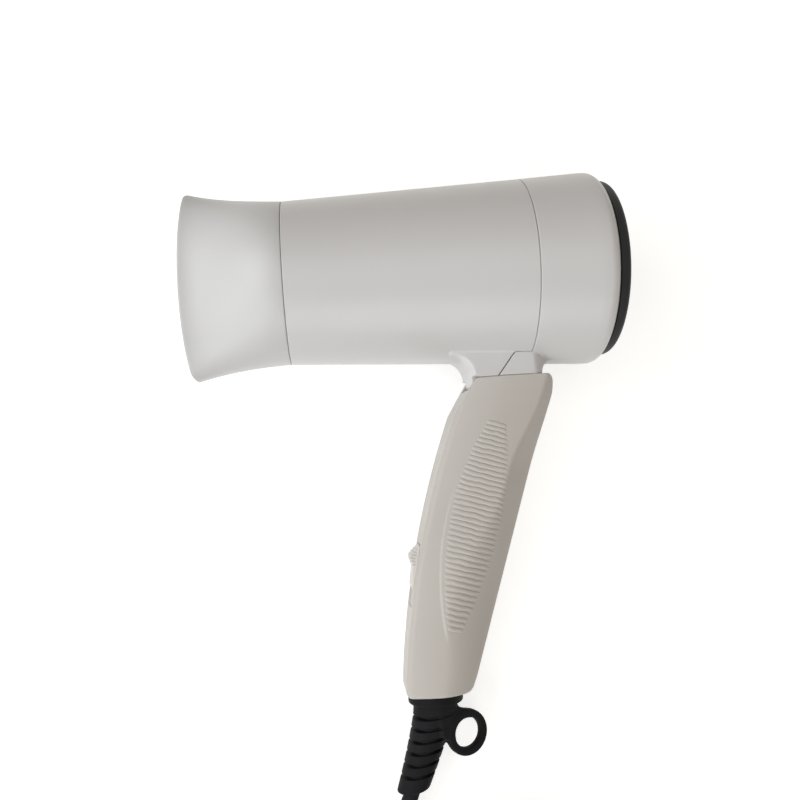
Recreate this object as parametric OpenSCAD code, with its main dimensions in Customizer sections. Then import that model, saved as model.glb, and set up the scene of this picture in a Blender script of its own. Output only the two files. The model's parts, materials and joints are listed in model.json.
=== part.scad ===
// Folding travel hair dryer, lying on its side with its mains lead wound beside it.
// Every piece but the lead is drawn in the dryer's own axes: x runs along the barrel from the
// nozzle seam to the air inlet, y runs from the handle to the barrel, z is across the dryer.
// lay() then puts the dryer down on its side.

/* [Barrel] */
// Outer radius of the barrel at the nozzle seam
barrel_front_r = 30.2; // [29.5:0.1:31]
// Outer radius of the barrel at the seam between its two casings
barrel_seam_r = 34.8; // [34.2:0.1:35.2]
// Outer radius of the barrel round the air inlet
barrel_rear_r = 36.1; // [35.8:0.1:36.6]
// Length of the front casing
front_casing_l = 87.7; // [87:0.1:88.5]
// Length of both casings together
casing_l = 115.6; // [115:0.1:116.5]
// Wall thickness of the barrel
barrel_wall = 2.2; // [1.8:0.1:2.4]

/* [Nozzle] */
// Length of the nozzle on its centre line
nozzle_l = 38.2; // [36:0.1:42]
// Half the width of the outlet, in the plane of the handle
nozzle_half_w = 36; // [34:0.1:37]
// Half the depth of the outlet, across the dryer
nozzle_half_d = 12; // [10:0.5:16]
// Wall thickness of the nozzle
nozzle_wall = 1.6; // [1.4:0.1:1.8]
// How far the outlet edge bows out at its middle
nozzle_bow = 2.8; // [1:0.1:4]

/* [Air inlet] */
// How far the inlet grille stands out of the rear casing
grille_proud = 5; // [4:0.1:5.5]
// Outer radius of the inlet grille's rim
grille_r = 35.2; // [34.6:0.1:35.4]
// Number of spokes in the inlet grille
grille_spokes = 12; // [6:2:16]

/* [Handle] */
// Half the thickness of the neck and of the top of the handle
neck_half_t = 14.5; // [14:0.1:15]
// How much each side of the handle leans in towards its end, in degrees
handle_taper = 1.25; // [0.8:0.05:1.5]
// Wall thickness of the handle shells
handle_wall = 2; // [1.8:0.1:2.2]
// Height of the grip ribs
rib_h = 0.4; // [0.3:0.05:0.6]
// Distance from one grip rib to the next, at the top of the handle
rib_pitch = 1.78; // [1.7:0.02:2]

/* [Fold] */
// Radius of the hinge knuckles
knuckle_r = 1.8; // [1.7:0.05:1.9]
// Radius of the hinge pin
hinge_pin_r = 1; // [0.9:0.05:1.1]

/* [Switch] */
// How far the thumb slider travels
switch_travel = 6; // [5:0.5:6]
// Height of the slider's catch over the handle
catch_h = 2.9; // [2:0.1:3.5]

/* [Strain relief] */
// Inner radius of the hanging loop
loop_r = 5.5; // [5:0.1:6]
// Thickness of the hanging loop
loop_t = 2.4; // [2:0.1:3]

/* [Lead] */
// Radius of the mains lead
cord_r = 2.85; // [2.7:0.05:3]
// Turns of the coil that lie side by side
coil_across = 4; // [3:1:5]
// Turns of the coil that lie on each other
coil_high = 2; // [2:2:4]
// Radius of the coil at the middle of its turns
coil_r = 34; // [31:0.5:34]

/* [Hidden] */
$fn = 64;
eps = 0.01;

// Clearances: between parts that move, between parts that only meet, and a running fit
gap = 0.3;
seam = 0.15;
run = 0.05;

// How the dryer lies: it rolls onto the end of its handle and pitches onto the barrel's cone
lay_roll = 7.9;
lay_pitch = 3.15;
lay_lift = 30.16;
lay_x = -41.7;
lay_y = 75.43;

function lay_point(p) =
  let (x = p[0] * cos(lay_pitch) - p[2] * sin(lay_pitch),
       z = p[0] * sin(lay_pitch) + p[2] * cos(lay_pitch))
  [x + lay_x,
   p[1] * cos(lay_roll) - z * sin(lay_roll) + lay_y,
   p[1] * sin(lay_roll) + z * cos(lay_roll) + lay_lift];

module lay()
  translate([lay_x, lay_y, lay_lift])
    rotate([lay_roll, 0, 0])
      rotate([0, -lay_pitch, 0])
        children();

// Points of an arc in the plane, from angle a0 to a1 in n steps
function arc(c, r, a0, a1, n) =
  [for (i = [0 : n]) let (a = a0 + (a1 - a0) * i / n) c + r * [cos(a), sin(a)]];

// A solid of revolution about the barrel's axis, from an outline of [radius, x] points
module turned(outline) rotate([0, 90, 0]) rotate_extrude() polygon(outline);

// A rod, a tube and a ring of places about the barrel's axis
module rod(x0, x1, r) translate([x0, 0, 0]) rotate([0, 90, 0]) cylinder(h = x1 - x0, r = r);

module tube(x0, x1, r_out, r_in)
  difference() {
    rod(x0, x1, r_out);
    rod(x0 - 1, x1 + 1, r_in);
  }

module around(count, start = 0)
  for (i = [0 : count - 1]) rotate([start + i * 360 / count, 0, 0]) children();

// A closed solid skinned over a list of rings of points
module skin(rings) {
  n = len(rings[0]);
  m = len(rings);
  polyhedron(
    points = [for (ring = rings) for (p = ring) p],
    faces = concat(
      [[for (i = [0 : n - 1]) n - 1 - i]],
      [[for (i = [0 : n - 1]) (m - 1) * n + i]],
      [for (j = [0 : m - 2]) for (i = [0 : n - 1]) let (k = (i + 1) % n)
        [j * n + i, j * n + k, (j + 1) * n + i]],
      [for (j = [0 : m - 2]) for (i = [0 : n - 1]) let (k = (i + 1) % n)
        [j * n + k, (j + 1) * n + k, (j + 1) * n + i]]));
}

// Direction of a route at point i, and a ring of points about it
function route_dir(p, i) =
  let (a = i > 0 ? (p[i] - p[i - 1]) / norm(p[i] - p[i - 1]) : [0, 0, 0],
       b = i < len(p) - 1 ? (p[i + 1] - p[i]) / norm(p[i + 1] - p[i]) : [0, 0, 0])
  (a + b) / norm(a + b);

function route_ring(p, i, r, sides) =
  let (d = route_dir(p, i), c = cross(d, [0, 0, 1]), s = c / norm(c), u = cross(s, d))
  [for (k = [0 : sides - 1]) let (a = k * 360 / sides) p[i] + r * (cos(a) * s + sin(a) * u)];

// A wire or lead of radius r along a list of points
module wire(p, r, sides = 8) skin([for (i = [0 : len(p) - 1]) route_ring(p, i, r, sides)]);

// ---------------------------------------------------------------- nozzle

spigot_r = 27.4;
spigot_in_r = 25.6;
spigot_l = 8;
nozzle_sections = 9;
nozzle_sides = 40;
nozzle_corner_r = 3.5;

// Half the width and depth of the nozzle at t, 0 at the barrel and 1 at the outlet, and how
// square its section is there: 1 is an ellipse, less is squarer
function nozzle_w(t) = barrel_front_r + (nozzle_half_w - barrel_front_r) * pow(t, 1.5);
function nozzle_d(t) = nozzle_half_d + (barrel_front_r - nozzle_half_d) * (1 + cos(180 * t)) / 2;
function nozzle_n(t) = 1 - 0.25 * t;

// Ring of points round the nozzle at t, moved in by w
function nozzle_ring(t, w) =
  [for (i = [0 : nozzle_sides - 1]) let (a = i * 360 / nozzle_sides, s = min(t, 1), n = nozzle_n(s))
    [-gap - t * (nozzle_l - gap), (nozzle_w(s) - w) * sign(cos(a)) * pow(abs(cos(a)), n),
      (nozzle_d(s) - w) * sign(sin(a)) * pow(abs(sin(a)), n)]];

module nozzle_form(t0, t1, w)
  skin([for (j = [0 : nozzle_sections]) nozzle_ring(t0 + (t1 - t0) * j / nozzle_sections, w)]);

// Outline of the nozzle's outlet edge: a wide arc with rounded corners
edge_r = (pow(nozzle_half_w, 2) + pow(nozzle_bow, 2)) / (2 * nozzle_bow);
edge_a = asin((nozzle_half_w - nozzle_corner_r) / (edge_r - nozzle_corner_r));
edge_x = edge_r - nozzle_l;

function edge_corner(side) =
  [edge_x - (edge_r - nozzle_corner_r) * cos(edge_a), side * (edge_r - nozzle_corner_r) * sin(edge_a)];

nozzle_outline = concat(
  [[5, 50], [-gap - 20, 50], [-gap - 20, nozzle_half_w + 1]],
  arc(edge_corner(1), nozzle_corner_r, 60, 180 - edge_a, 6),
  arc([edge_x, 0], edge_r, 180 - edge_a * 0.9, 180 + edge_a * 0.9, 16),
  arc(edge_corner(-1), nozzle_corner_r, 180 + edge_a, 300, 6),
  [[-gap - 20, -nozzle_half_w - 1], [-gap - 20, -50], [5, -50]]);

module nozzle()
  color("whitesmoke")
    lay()
      difference() {
        intersection() {
          nozzle_form(0, 1, 0);
          linear_extrude(height = 80, center = true) polygon(nozzle_outline);
        }
        nozzle_form(0.21, 1.06, nozzle_wall);
        rod(-spigot_l - 1, 1, spigot_r + run);
      }

// ---------------------------------------------------------------- barrel casings

barrel_max_x = 110;
rim_chamfer = 1.4;
lap_l = 3.2;

function barrel_r(x) =
  x < front_casing_l
    ? barrel_front_r + (barrel_seam_r - barrel_front_r) * x / front_casing_l
    : barrel_seam_r + (barrel_rear_r - barrel_seam_r)
      * min(1, (x - front_casing_l) / (barrel_max_x - front_casing_l));

// Outline of the barrel between two stations, moved in by w
function barrel_outline(x0, x1, w) =
  [for (i = [0 : 8]) let (x = x0 + (x1 - x0) * i / 8) [barrel_r(x) - w, x]];

module barrel_shell(x0, x1)
  turned(concat(barrel_outline(x0, x1, 0), barrel_outline(x1, x0, barrel_wall)));

// The neck under the barrel. Its front is a hollow curve, its rear a smaller one.
neck_bottom = -40;
neck_front_x = 65.8;
neck_rear_x = 91.3;
neck_front_fillet = 8;
neck_rear_fillet = 5.2;
neck_in_t = neck_half_t - barrel_wall;

// Hinge of the handle, at the front edge of the neck
hinge_x = 67.6;
hinge_y = -42.1;
knuckle_half_l = 7.85;

neck_outline = concat(
  [[neck_front_x - neck_front_fillet, -22]],
  arc([neck_front_x - neck_front_fillet, -39.4], neck_front_fillet, 90, 0, 8),
  [[neck_front_x, neck_bottom + 0.8], [hinge_x, neck_bottom], [neck_rear_x, neck_bottom]],
  arc([neck_rear_x + neck_rear_fillet, -40.4], neck_rear_fillet, 180, 90, 6),
  [[neck_rear_x + neck_rear_fillet, -22]]);

// The slit that parts the front of the neck from its rear runs between these two points
slit_top = [81.7, -31.2];
slit_foot = [74.6, -40];
neck_step_y = -31.2;

module neck_slab(half_t) linear_extrude(height = 2 * half_t, center = true) children();

module neck_body()
  difference() {
    neck_slab(neck_half_t) polygon(neck_outline);
    neck_slab(neck_in_t) polygon([[69, -38], [88, -38], [88, -24], [69, -24]]);
    lead_passage();
  }

// Way through the floor of the neck for the leads
passage_x0 = 73;
passage_x1 = 86;
module lead_passage()
  translate([passage_x0, neck_bottom - 4, -9]) cube([passage_x1 - passage_x0, 8, 18]);

module neck_front_zone()
  neck_slab(20)
    polygon([[50, -20], [slit_top[0], -20], slit_top, slit_foot, [slit_foot[0], -50], [50, -50]]);

module neck_rear_zone()
  neck_slab(20)
    polygon([[slit_top[0] + 0.3, neck_step_y - 0.1], [110, neck_step_y - 0.1], [110, -50],
      [slit_foot[0] + 0.3, -50], [slit_foot[0] + 0.3, slit_foot[1]]]);

screw_ring_r = 29.9;
boss_r = 2.7;
screw_angles = [60, 300];

// Repeats its children at the two casing screws
module at_casing_screws()
  for (a = screw_angles) rotate([a, 0, 0]) translate([0, screw_ring_r, 0]) children();

module front_casing()
  color("whitesmoke")
    lay()
      difference() {
        union() {
          barrel_shell(0, front_casing_l - seam / 2);
          // front wall and outlet ring
          tube(0, 2, 29, spigot_in_r);
          tube(-spigot_l, 1, spigot_r, spigot_in_r);
          // lap that enters the rear casing
          tube(front_casing_l - 3, front_casing_l + lap_l, barrel_seam_r - barrel_wall - 0.1, 31.2);
          // bosses for the casing screws
          intersection() {
            at_casing_screws() rod(70, 86, boss_r);
            rod(60, 90, 33.2);
          }
          // front half of the neck, outside the barrel's bore
          difference() {
            intersection() {
              neck_body();
              neck_front_zone();
            }
            rod(50, 95, 32.4);
          }
          // middle knuckle of the hinge
          translate([hinge_x, hinge_y, 0]) {
            cylinder(h = 2 * knuckle_half_l, r = knuckle_r, center = true);
            translate([-knuckle_r, 0, -knuckle_half_l])
              cube([2 * knuckle_r, 3.2, 2 * knuckle_half_l]);
          }
        }
        at_casing_screws() rod(74, 90, 1.15);
        translate([hinge_x, hinge_y, 0]) cylinder(h = 20, r = hinge_pin_r + run, center = true);
        // hole for the leads between neck and barrel
        translate([71.5, -32, 0]) rotate([90, 0, 0]) cylinder(h = 12, r = 3.5, center = true);
      }

grille_seat_x = 112;

module rear_casing()
  color("whitesmoke")
    lay()
      difference() {
        union() {
          barrel_shell(front_casing_l + seam / 2, casing_l - rim_chamfer);
          turned([[barrel_rear_r, casing_l - rim_chamfer], [barrel_rear_r - 1, casing_l],
            [barrel_rear_r - barrel_wall, casing_l],
            [barrel_rear_r - barrel_wall, casing_l - rim_chamfer]]);
          // ring that the fan housing hangs on
          tube(110, 111.6, barrel_rear_r - 2, 27.2);
          // lugs for the casing screws
          intersection() {
            at_casing_screws() {
              rod(front_casing_l + lap_l + 0.2, 95, 2.8);
              translate([front_casing_l + lap_l + 0.2, 0, -2.8])
                cube([95 - front_casing_l - lap_l - 0.2, 6, 5.6]);
            }
            rod(90, 96, barrel_rear_r - barrel_wall - 0.6);
          }
          // rear half of the neck
          difference() {
            intersection() {
              neck_body();
              neck_rear_zone();
            }
            turned([[0, 60], [barrel_r(60) + seam, 60], [barrel_seam_r + seam, front_casing_l + seam / 2],
              [33.4, front_casing_l + seam / 2], [34, 100], [0, 100]]);
          }
        }
        at_casing_screws() rod(85, 97, 1.5);
      }

module casing_screws()
  color("silver")
    lay()
      at_casing_screws() {
        rod(76, 95, 1.15);
        difference() {
          rod(95, 96.8, 2.4);
          for (a = [0, 90]) rotate([a, 0, 0]) translate([96, -1.5, -0.3]) cube([2, 3, 0.6]);
        }
      }

// ---------------------------------------------------------------- air inlet

grille_x = casing_l + grille_proud;
grille_skirt_r = barrel_rear_r - barrel_wall - 0.05;
grille_bar = 1.5;
grille_step = 4;

module inlet_grille()
  color([0.12, 0.11, 0.11])
    lay() {
      turned(concat(
        [[grille_skirt_r - 1.6, grille_seat_x], [grille_skirt_r, grille_seat_x],
          [grille_skirt_r, casing_l + 0.1], [grille_r, casing_l + 0.1]],
        arc([grille_r - 3, grille_x - 3], 3, 0, 90, 6),
        [[31.4, grille_x], [30, grille_x - 1.4], [30, grille_x - 3], [grille_skirt_r - 1.6, grille_x - 3]]));
      for (r = [6 : grille_step : 30])
        tube(grille_x - 3, grille_x - 1.4, r, r - grille_bar);
      rod(grille_x - 3, grille_x - 1.6, 4.6);
      around(grille_spokes)
        translate([grille_x - 3.4, 3.8, -0.8]) cube([2, 26.8, 1.6]);
    }

module inlet_mesh()
  color([0.25, 0.25, 0.25])
    lay() rod(grille_seat_x, grille_seat_x + 0.5, grille_skirt_r - 1.7);

// ---------------------------------------------------------------- outlet and heater

module outlet_grille()
  color([0.15, 0.15, 0.15])
    lay() {
      tube(-6, -3.6, spigot_in_r - 0.05, spigot_in_r - 1.4);
      for (r = [9, 17]) tube(-6, -4.4, r, r - 1.2);
      around(6, 15) translate([-5.8, 8.4, -0.6]) cube([1.2, 16.3, 1.2]);
    }

mica_t = 0.6;
mica_x0 = 3;
mica_x1 = 56;
mica_half = 25;
liner_r = 27;
coil_ring_r = 20;
coil_wire_r = 1.6;
coil_pitch = 6;
coil_count = 8;
notch_floor = coil_ring_r - coil_wire_r - 0.1;

module mica_liner()
  color([0.78, 0.7, 0.52])
    lay() tube(2.2, 60, liner_r + 0.5, liner_r);

// One mica board in the plane of x and y, notched for the heating coils
module mica_board(slot_x0, slot_x1)
  difference() {
    translate([mica_x0, -mica_half, -mica_t / 2]) cube([mica_x1 - mica_x0, 2 * mica_half, mica_t]);
    for (i = [0 : coil_count - 1])
      for (side = [-1, 1])
        translate([8 + i * coil_pitch - coil_wire_r - 0.1, side > 0 ? notch_floor : -40, -2])
          cube([2 * coil_wire_r + 0.2, 40 - notch_floor, 4]);
    translate([slot_x0, -mica_t / 2 - 0.05, -2]) cube([slot_x1 - slot_x0, mica_t + 0.1, 4]);
  }

module mica_board_upright()
  color([0.82, 0.76, 0.6])
    lay() mica_board(mica_x0 - 1, 29.5);

module mica_board_flat()
  color([0.82, 0.76, 0.6])
    lay() rotate([90, 0, 0]) mica_board(29.5, mica_x1 + 1);

module heater_coils()
  color([0.55, 0.5, 0.47])
    lay()
      for (i = [0 : coil_count - 1])
        translate([8 + i * coil_pitch, 0, 0])
          rotate([0, 90, 0]) rotate_extrude() translate([coil_ring_r, 0]) circle(r = coil_wire_r);

module thermostat()
  color([0.75, 0.72, 0.68])
    lay()
      translate([34, 3, mica_t / 2]) {
        cube([12, 9, 3]);
        translate([6, 4.5, 3]) cylinder(h = 1.6, r = 3.6);
      }

module thermal_fuse()
  color([0.8, 0.8, 0.78])
    lay()
      translate([34, -8, mica_t / 2 + 1.6]) {
        rod(0, 11, 1.6);
        rod(-7, 0, 0.4);
        rod(11, 18, 0.4);
      }

// ---------------------------------------------------------------- fan and motor

hub_r = 14;
duct_r = 25.8;
duct_t = 1.1;
can_r = 12.5;
can_x0 = 65.5;
can_x1 = 91.8;
shaft_r = 1;
bush_r = 3.2;

module fan_housing()
  color([0.9, 0.89, 0.86])
    lay() {
      tube(64, 110, duct_r + duct_t, duct_r);
      tube(108.2, 110, 31, duct_r);
      tube(66, 93.2, hub_r, can_r);
      tube(can_x1, 93.2, hub_r - 0.5, 5.4);
      around(7) translate([70, hub_r - 0.4, -0.6]) cube([18, duct_r - hub_r + 0.6, 1.2]);
    }

module motor_can()
  color([0.7, 0.7, 0.72])
    lay() {
      tube(can_x0, can_x1, can_r, can_r - 0.8);
      tube(can_x1 - 0.8, can_x1, can_r - 0.4, bush_r);
      tube(can_x1 - 0.4, can_x1 + 2.6, bush_r + 1, bush_r);
    }

module motor_end_cap()
  color([0.2, 0.2, 0.22])
    lay() {
      tube(can_x0 - 2, can_x0, can_r, bush_r);
      tube(can_x0 - 0.2, can_x0 + 1.4, can_r - 0.8, 9.8);
    }

module motor_bushes()
  color([0.72, 0.55, 0.3])
    lay() {
      tube(can_x0 - 2, can_x0 + 0.6, bush_r, shaft_r + run);
      tube(can_x1 - 0.8, can_x1 + 2.6, bush_r, shaft_r + run);
    }

module motor_magnets()
  color([0.28, 0.27, 0.28])
    lay()
      intersection() {
        tube(68, 87, can_r - 0.8, 9.8);
        union()
          for (side = [0, 180])
            rotate([side, 0, 0]) translate([60, 2.5, -20]) cube([40, 20, 40]);
      }

module armature()
  color([0.62, 0.4, 0.25])
    lay()
      difference() {
        union() {
          rod(70, 86, 9.3);
          rod(68.2, 70, 7.4);
          rod(86, 88, 7.4);
          rod(66.6, 68.2, 2.8);
        }
        around(3) translate([69.9, 3.4, -1]) cube([16.2, 8, 2]);
        rod(60, 100, shaft_r);
      }

module motor_shaft()
  color("silver")
    lay() rod(62.8, 106, shaft_r);

fan_x0 = 96;
fan_x1 = 107;
fan_r = 25.3;
fan_hub_r = 10.5;
fan_blades = 9;

module fan_impeller()
  color([0.93, 0.92, 0.88])
    lay()
      difference() {
        union() {
          tube(fan_x0, fan_x1, fan_hub_r, fan_hub_r - 1.4);
          rod(fan_x1 - 1.5, fan_x1, fan_hub_r - 1);
          rod(fan_x0 + 2, fan_x1, 3);
          intersection() {
            around(fan_blades)
              translate([(fan_x0 + fan_x1) / 2, fan_hub_r - 0.7, 0])
                rotate([0, 42, 0]) translate([-7, 0, -0.6]) cube([14, 20, 1.2]);
            tube(fan_x0, fan_x1, fan_r, fan_hub_r - 0.9);
          }
        }
        rod(90, fan_x1 - 1, shaft_r);
      }

module diode_board()
  color([0.2, 0.42, 0.26])
    lay() {
      tube(60.4, 62, 11, 2.5);
      for (a = [45 : 90 : 315])
        rotate([a, 0, 0]) translate([58.9, 7, -2.6]) cylinder(h = 5.2, r = 1.5);
    }

module barrel_leads()
  color([0.75, 0.2, 0.15])
    lay()
      for (z = [-2.4, 0, 2.4])
        wire([[78 + z, -39, z * 1.6], [74, -35.5, z * 0.9], [71.5, -32, z * 0.9], [69, -29.3, z],
          [62.6, -28.4, z * 1.2], [61.2, -20, z], [61.2, -11, z]], 0.9);

// ---------------------------------------------------------------- handle

handle_top = -40.3;
handle_end = -152.6;
front_arc_c = [374, -183];
front_arc_r = 341.6;
back_foot = [55.6, -165];
back_lean = 18.7;
shoulder_x = 95.2;
front_flat = 8.5;
front_corner = 4.5;
crest = 15;

// Half-thickness of the handle at a depth s behind its front edge
function crown(s) = neck_half_t - (s < crest ? 0.0136 : 0.004) * pow(s - crest, 2);

// Section across the handle from its front edge inwards, as [depth, half-thickness]
function front_section(i) = concat(
  [[i, -2], [i, front_flat]],
  arc([front_corner, front_flat], front_corner - i, 180, 90, 5),
  [for (s = [7, 10, 14, 19, 25, 32, 40]) [s, crown(s) - i]],
  [[60, crown(40) - i], [60, -2]]);

// Section across the handle from its back edge inwards
function back_section(i) = [[i, -2], [i, 5 - i * 0.3], [i + 0.8, 6.6 - i * 0.3],
  [7.4 + i * 0.4, 13.2 - i], [10, 15.5 - i], [60, 18 - i], [60, -2]];

// Outline of the handle seen from the side, moved in by i, apart from its long edges
function side_outline(i) = concat(
  arc([hinge_x, hinge_y], knuckle_r - min(i, 1.6), 146, 90, 4),
  [[hinge_x + 1, handle_top - i]],
  arc([shoulder_x - 3, handle_top - 3], 3 - i, 90, 0, 5),
  [[shoulder_x - i, -100]],
  arc([55.7, handle_end + 5.8], 5.8 - i, -back_lean, -90, 5),
  arc([37.1, handle_end + 4], 4 - i, -90, -188, 6),
  [[25, -110], [25, -90], [53.1 + i * 1.2, -60.6]]);

// One half of the handle, moved in by i, on the near side of the parting plane
module handle_half(i)
  intersection() {
    translate([0, handle_top, 0])
      rotate([handle_taper, 0, 0])
        translate([0, -handle_top, 0])
          intersection() {
            translate([front_arc_c[0], front_arc_c[1], 0])
              rotate([0, 0, 148])
                rotate_extrude(angle = 36)
                  polygon([for (p = front_section(i)) [front_arc_r - p[0], p[1]]]);
            translate([back_foot[0], back_foot[1], 0])
              rotate([90, 0, 180 - back_lean])
                linear_extrude(height = 144) polygon(back_section(i));
          }
    linear_extrude(height = 20) polygon(side_outline(i));
  }

handle_screw_at = [[83.5, -57], [66.5, -104], [54, -134]];
switch_x = 40.2;
switch_y = -110.5;
switch_turn = 167.8;

// Places its children at the switch: x out of the handle, y towards its end
module at_switch() translate([switch_x, switch_y, 0]) rotate([0, 0, switch_turn]) children();

clamp_x = 44.5;
clamp_y = -143.4;
clamp_half_w = 7.3;
collar_x = 45.1;
collar_t = 3.6;
collar_r = 10;
collar_bore_r = 6;

// The leaf-shaped grip, and its ribs
leaf_left = [147, -117];
leaf_left_r = 98.8;
leaf_right = [-28.5, -67.5];
leaf_right_r = 103.5;

module leaf(r_in)
  intersection() {
    translate(concat(leaf_left, [-1])) cylinder(h = 24, r = leaf_left_r - r_in, $fn = 200);
    translate(concat(leaf_right, [-1])) cylinder(h = 24, r = leaf_right_r - r_in, $fn = 200);
    translate([40, -131.5, -1]) cube([50, 76, 24]);
  }

rib_count = 41;
rib_first_y = -53.5;
rib_growth = 0.0043;
rib_slope = 18;
rib_w = 1;

module grip_ribs()
  intersection() {
    leaf(0.6);
    union()
      for (i = [0 : rib_count - 1])
        translate([60, rib_first_y - i * rib_pitch - i * i * rib_growth, 0])
          rotate([0, 0, -rib_slope]) translate([-30, -rib_w / 2, 5]) cube([60, rib_w, 15]);
    difference() {
      handle_half(-rib_h);
      handle_half(0.5);
    }
  }

module shell_half()
  difference() {
    union() {
      difference() {
        handle_half(0);
        handle_half(handle_wall);
      }
      grip_ribs();
      intersection() {
        handle_half(1);
        union() {
          for (p = handle_screw_at) translate([p[0], p[1], 0]) cylinder(h = 16, r = 3.2);
          // ribs that hold the switch
          at_switch()
            for (y = [-12.6, 11.4]) translate([-15, y, 2]) cube([13.6, 1.2, 16]);
        }
      }
      // outer knuckle of the hinge
      intersection() {
        handle_half(0);
        translate([hinge_x, hinge_y, 0]) cylinder(h = 16, r = 3.4);
      }
    }
    // middle knuckle of the neck and the swing of its web
    translate([hinge_x, hinge_y, -1]) {
      cylinder(h = 9.15, r = knuckle_r + gap);
      intersection() {
        cylinder(h = 9.15, r = 4);
        translate([-5, -3, 0]) cube([5 + knuckle_r + gap, 9, 12]);
      }
    }
    translate([hinge_x, hinge_y, -1]) cylinder(h = 12.3, r = hinge_pin_r);
    lead_passage();
    // window of the switch
    at_switch() {
      translate([-1, -11.4, -1]) cube([4, 22.8, 6.5]);
      translate([-4, -6.6, -1]) cube([6, 11.2, 3.1]);
    }
    // hole for the strain relief
    translate([collar_x, handle_end + 4, 0])
      rotate([90, 0, 0]) cylinder(h = 8, r = collar_bore_r);
  }

module handle_shell_near()
  color("gainsboro")
    lay()
      difference() {
        shell_half();
        for (p = handle_screw_at) translate([p[0], p[1], -1]) cylinder(h = 9, r = 1.05);
      }

module handle_shell_far()
  color("gainsboro")
    lay()
      mirror([0, 0, 1])
        difference() {
          union() {
            shell_half();
            // saddle under the lead
            intersection() {
              handle_half(1);
              translate([clamp_x - clamp_half_w, clamp_y - 2.5, 0.5]) cube([2 * clamp_half_w, 5, 16]);
            }
          }
          for (p = handle_screw_at) {
            translate([p[0], p[1], -1]) cylinder(h = 20, r = 1.3);
            translate([p[0], p[1], 7]) cylinder(h = 20, r = 2.4);
          }
          translate([clamp_x, clamp_y + 5, 0]) rotate([90, 0, 0]) cylinder(h = 10, r = cord_r);
          for (side = [-1, 1])
            translate([clamp_x + side * 5.4, clamp_y, 0]) cylinder(h = 8, r = 0.9);
        }

module handle_screws()
  color("silver")
    lay()
      for (p = handle_screw_at) {
        translate([p[0], p[1], -7]) cylinder(h = 14, r = 1.05);
        difference() {
          translate([p[0], p[1], -8.6]) cylinder(h = 1.6, r = 2.2);
          for (a = [0, 90])
            translate([p[0], p[1], -9]) rotate([0, 0, a]) translate([-1.4, -0.3, 0]) cube([2.8, 0.6, 1.2]);
        }
      }

module hinge_pin()
  color("silver")
    lay() translate([hinge_x, hinge_y, -11.2]) cylinder(h = 22.4, r = hinge_pin_r);

// ---------------------------------------------------------------- switch and wiring

module switch_knob()
  color("gainsboro")
    lay()
      at_switch() {
        translate([-0.85, -11, -5.2]) cube([1, 16, 10.4]);
        translate([0, 0, -4.6])
          linear_extrude(height = 9.2)
            polygon([[0, -11], [catch_h - 0.3, -8], [catch_h, -7.2], [catch_h - 0.4, -5.8], [1.1, -3.4],
              [0.8, 4], [0, 5]]);
        translate([-5.2, -6, -1.4]) cube([5, 3, 2.8]);
      }

module switch_body()
  color([0.16, 0.16, 0.17])
    lay()
      at_switch() {
        difference() {
          translate([-14.5, -11, -5.5]) cube([11.1, 22, 11]);
          translate([-5.7, -6.8, -1.8]) cube([3, 12, 3.6]);
        }
        for (y = [-7, 0, 7]) translate([-17.5, y - 1.4, -0.4]) cube([3.2, 2.8, 0.8]);
      }

module capacitor()
  color([0.85, 0.7, 0.2])
    lay()
      translate([70, -74, -9]) rotate([0, 0, -back_lean]) translate([-5.5, -8, 0]) cube([11, 16, 5.5]);

module cord_clamp()
  color([0.2, 0.2, 0.2])
    lay()
      difference() {
        translate([clamp_x - clamp_half_w, clamp_y - 2.5, 0.5]) cube([2 * clamp_half_w, 5, 4.5]);
        translate([clamp_x, clamp_y + 5, 0]) rotate([90, 0, 0]) cylinder(h = 10, r = cord_r);
        for (side = [-1, 1])
          translate([clamp_x + side * 5.4, clamp_y, 0]) cylinder(h = 8, r = 1.05);
      }

module clamp_screws()
  color("silver")
    lay()
      for (side = [-1, 1])
        translate([clamp_x + side * 5.4, clamp_y, 0]) {
          translate([0, 0, -6.5]) cylinder(h = 11.5, r = 0.9);
          translate([0, 0, 5]) cylinder(h = 1.3, r = 1.9);
        }

relief_seat = handle_end + 2;

module handle_leads()
  color([0.2, 0.35, 0.7])
    lay() {
      translate([clamp_x, relief_seat, 0]) rotate([-90, 0, 0]) cylinder(h = 18, r = cord_r);
      wire([[clamp_x - 1.3, relief_seat + 18, 0], [51, -126, 0], [61.5, -119.5, 0], [58.3, -118, 0]], 1);
      wire([[clamp_x + 1.3, relief_seat + 18, 0], [56, -127.5, 4], [66, -118, 4], [63, -112, 2],
        [60, -112.5, 0]], 1);
      for (z = [-2.4, 0, 2.4])
        wire([[60, -108, z], [64, -96, z + 3], [72, -70, z + 3], [79, -52, z * 1.4 + 1],
          [79 + z, -42, z * 1.6]], 0.9);
    }

// ---------------------------------------------------------------- strain relief

relief_top_x = 45.1;
relief_end_x = 34.7;
relief_top_y = handle_end - collar_t + 0.3;
relief_end_y = -186.8;
relief_rings = 7;
relief_top_r = 7.9;
relief_end_r = 5.8;
relief_ring_y = -158.9;
relief_ring_step = 4;
relief_ring_h = 2.8;
relief_end_ring_h = 3.9;
loop_turn = 32;
loop_at = [55.3, -167.9, 2];

// Centre of the relief at t, 0 under the handle and 1 at the lead
function relief_at(t) =
  [relief_top_x + (relief_end_x - relief_top_x) * pow(t, 1.2), relief_top_y + (relief_end_y - relief_top_y) * t, 0];

function relief_t(y) = (relief_top_y - y) / (relief_top_y - relief_end_y);

module disc(at, h, r) translate(at) rotate([90, 0, 0]) cylinder(h = h, r = r);

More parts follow.
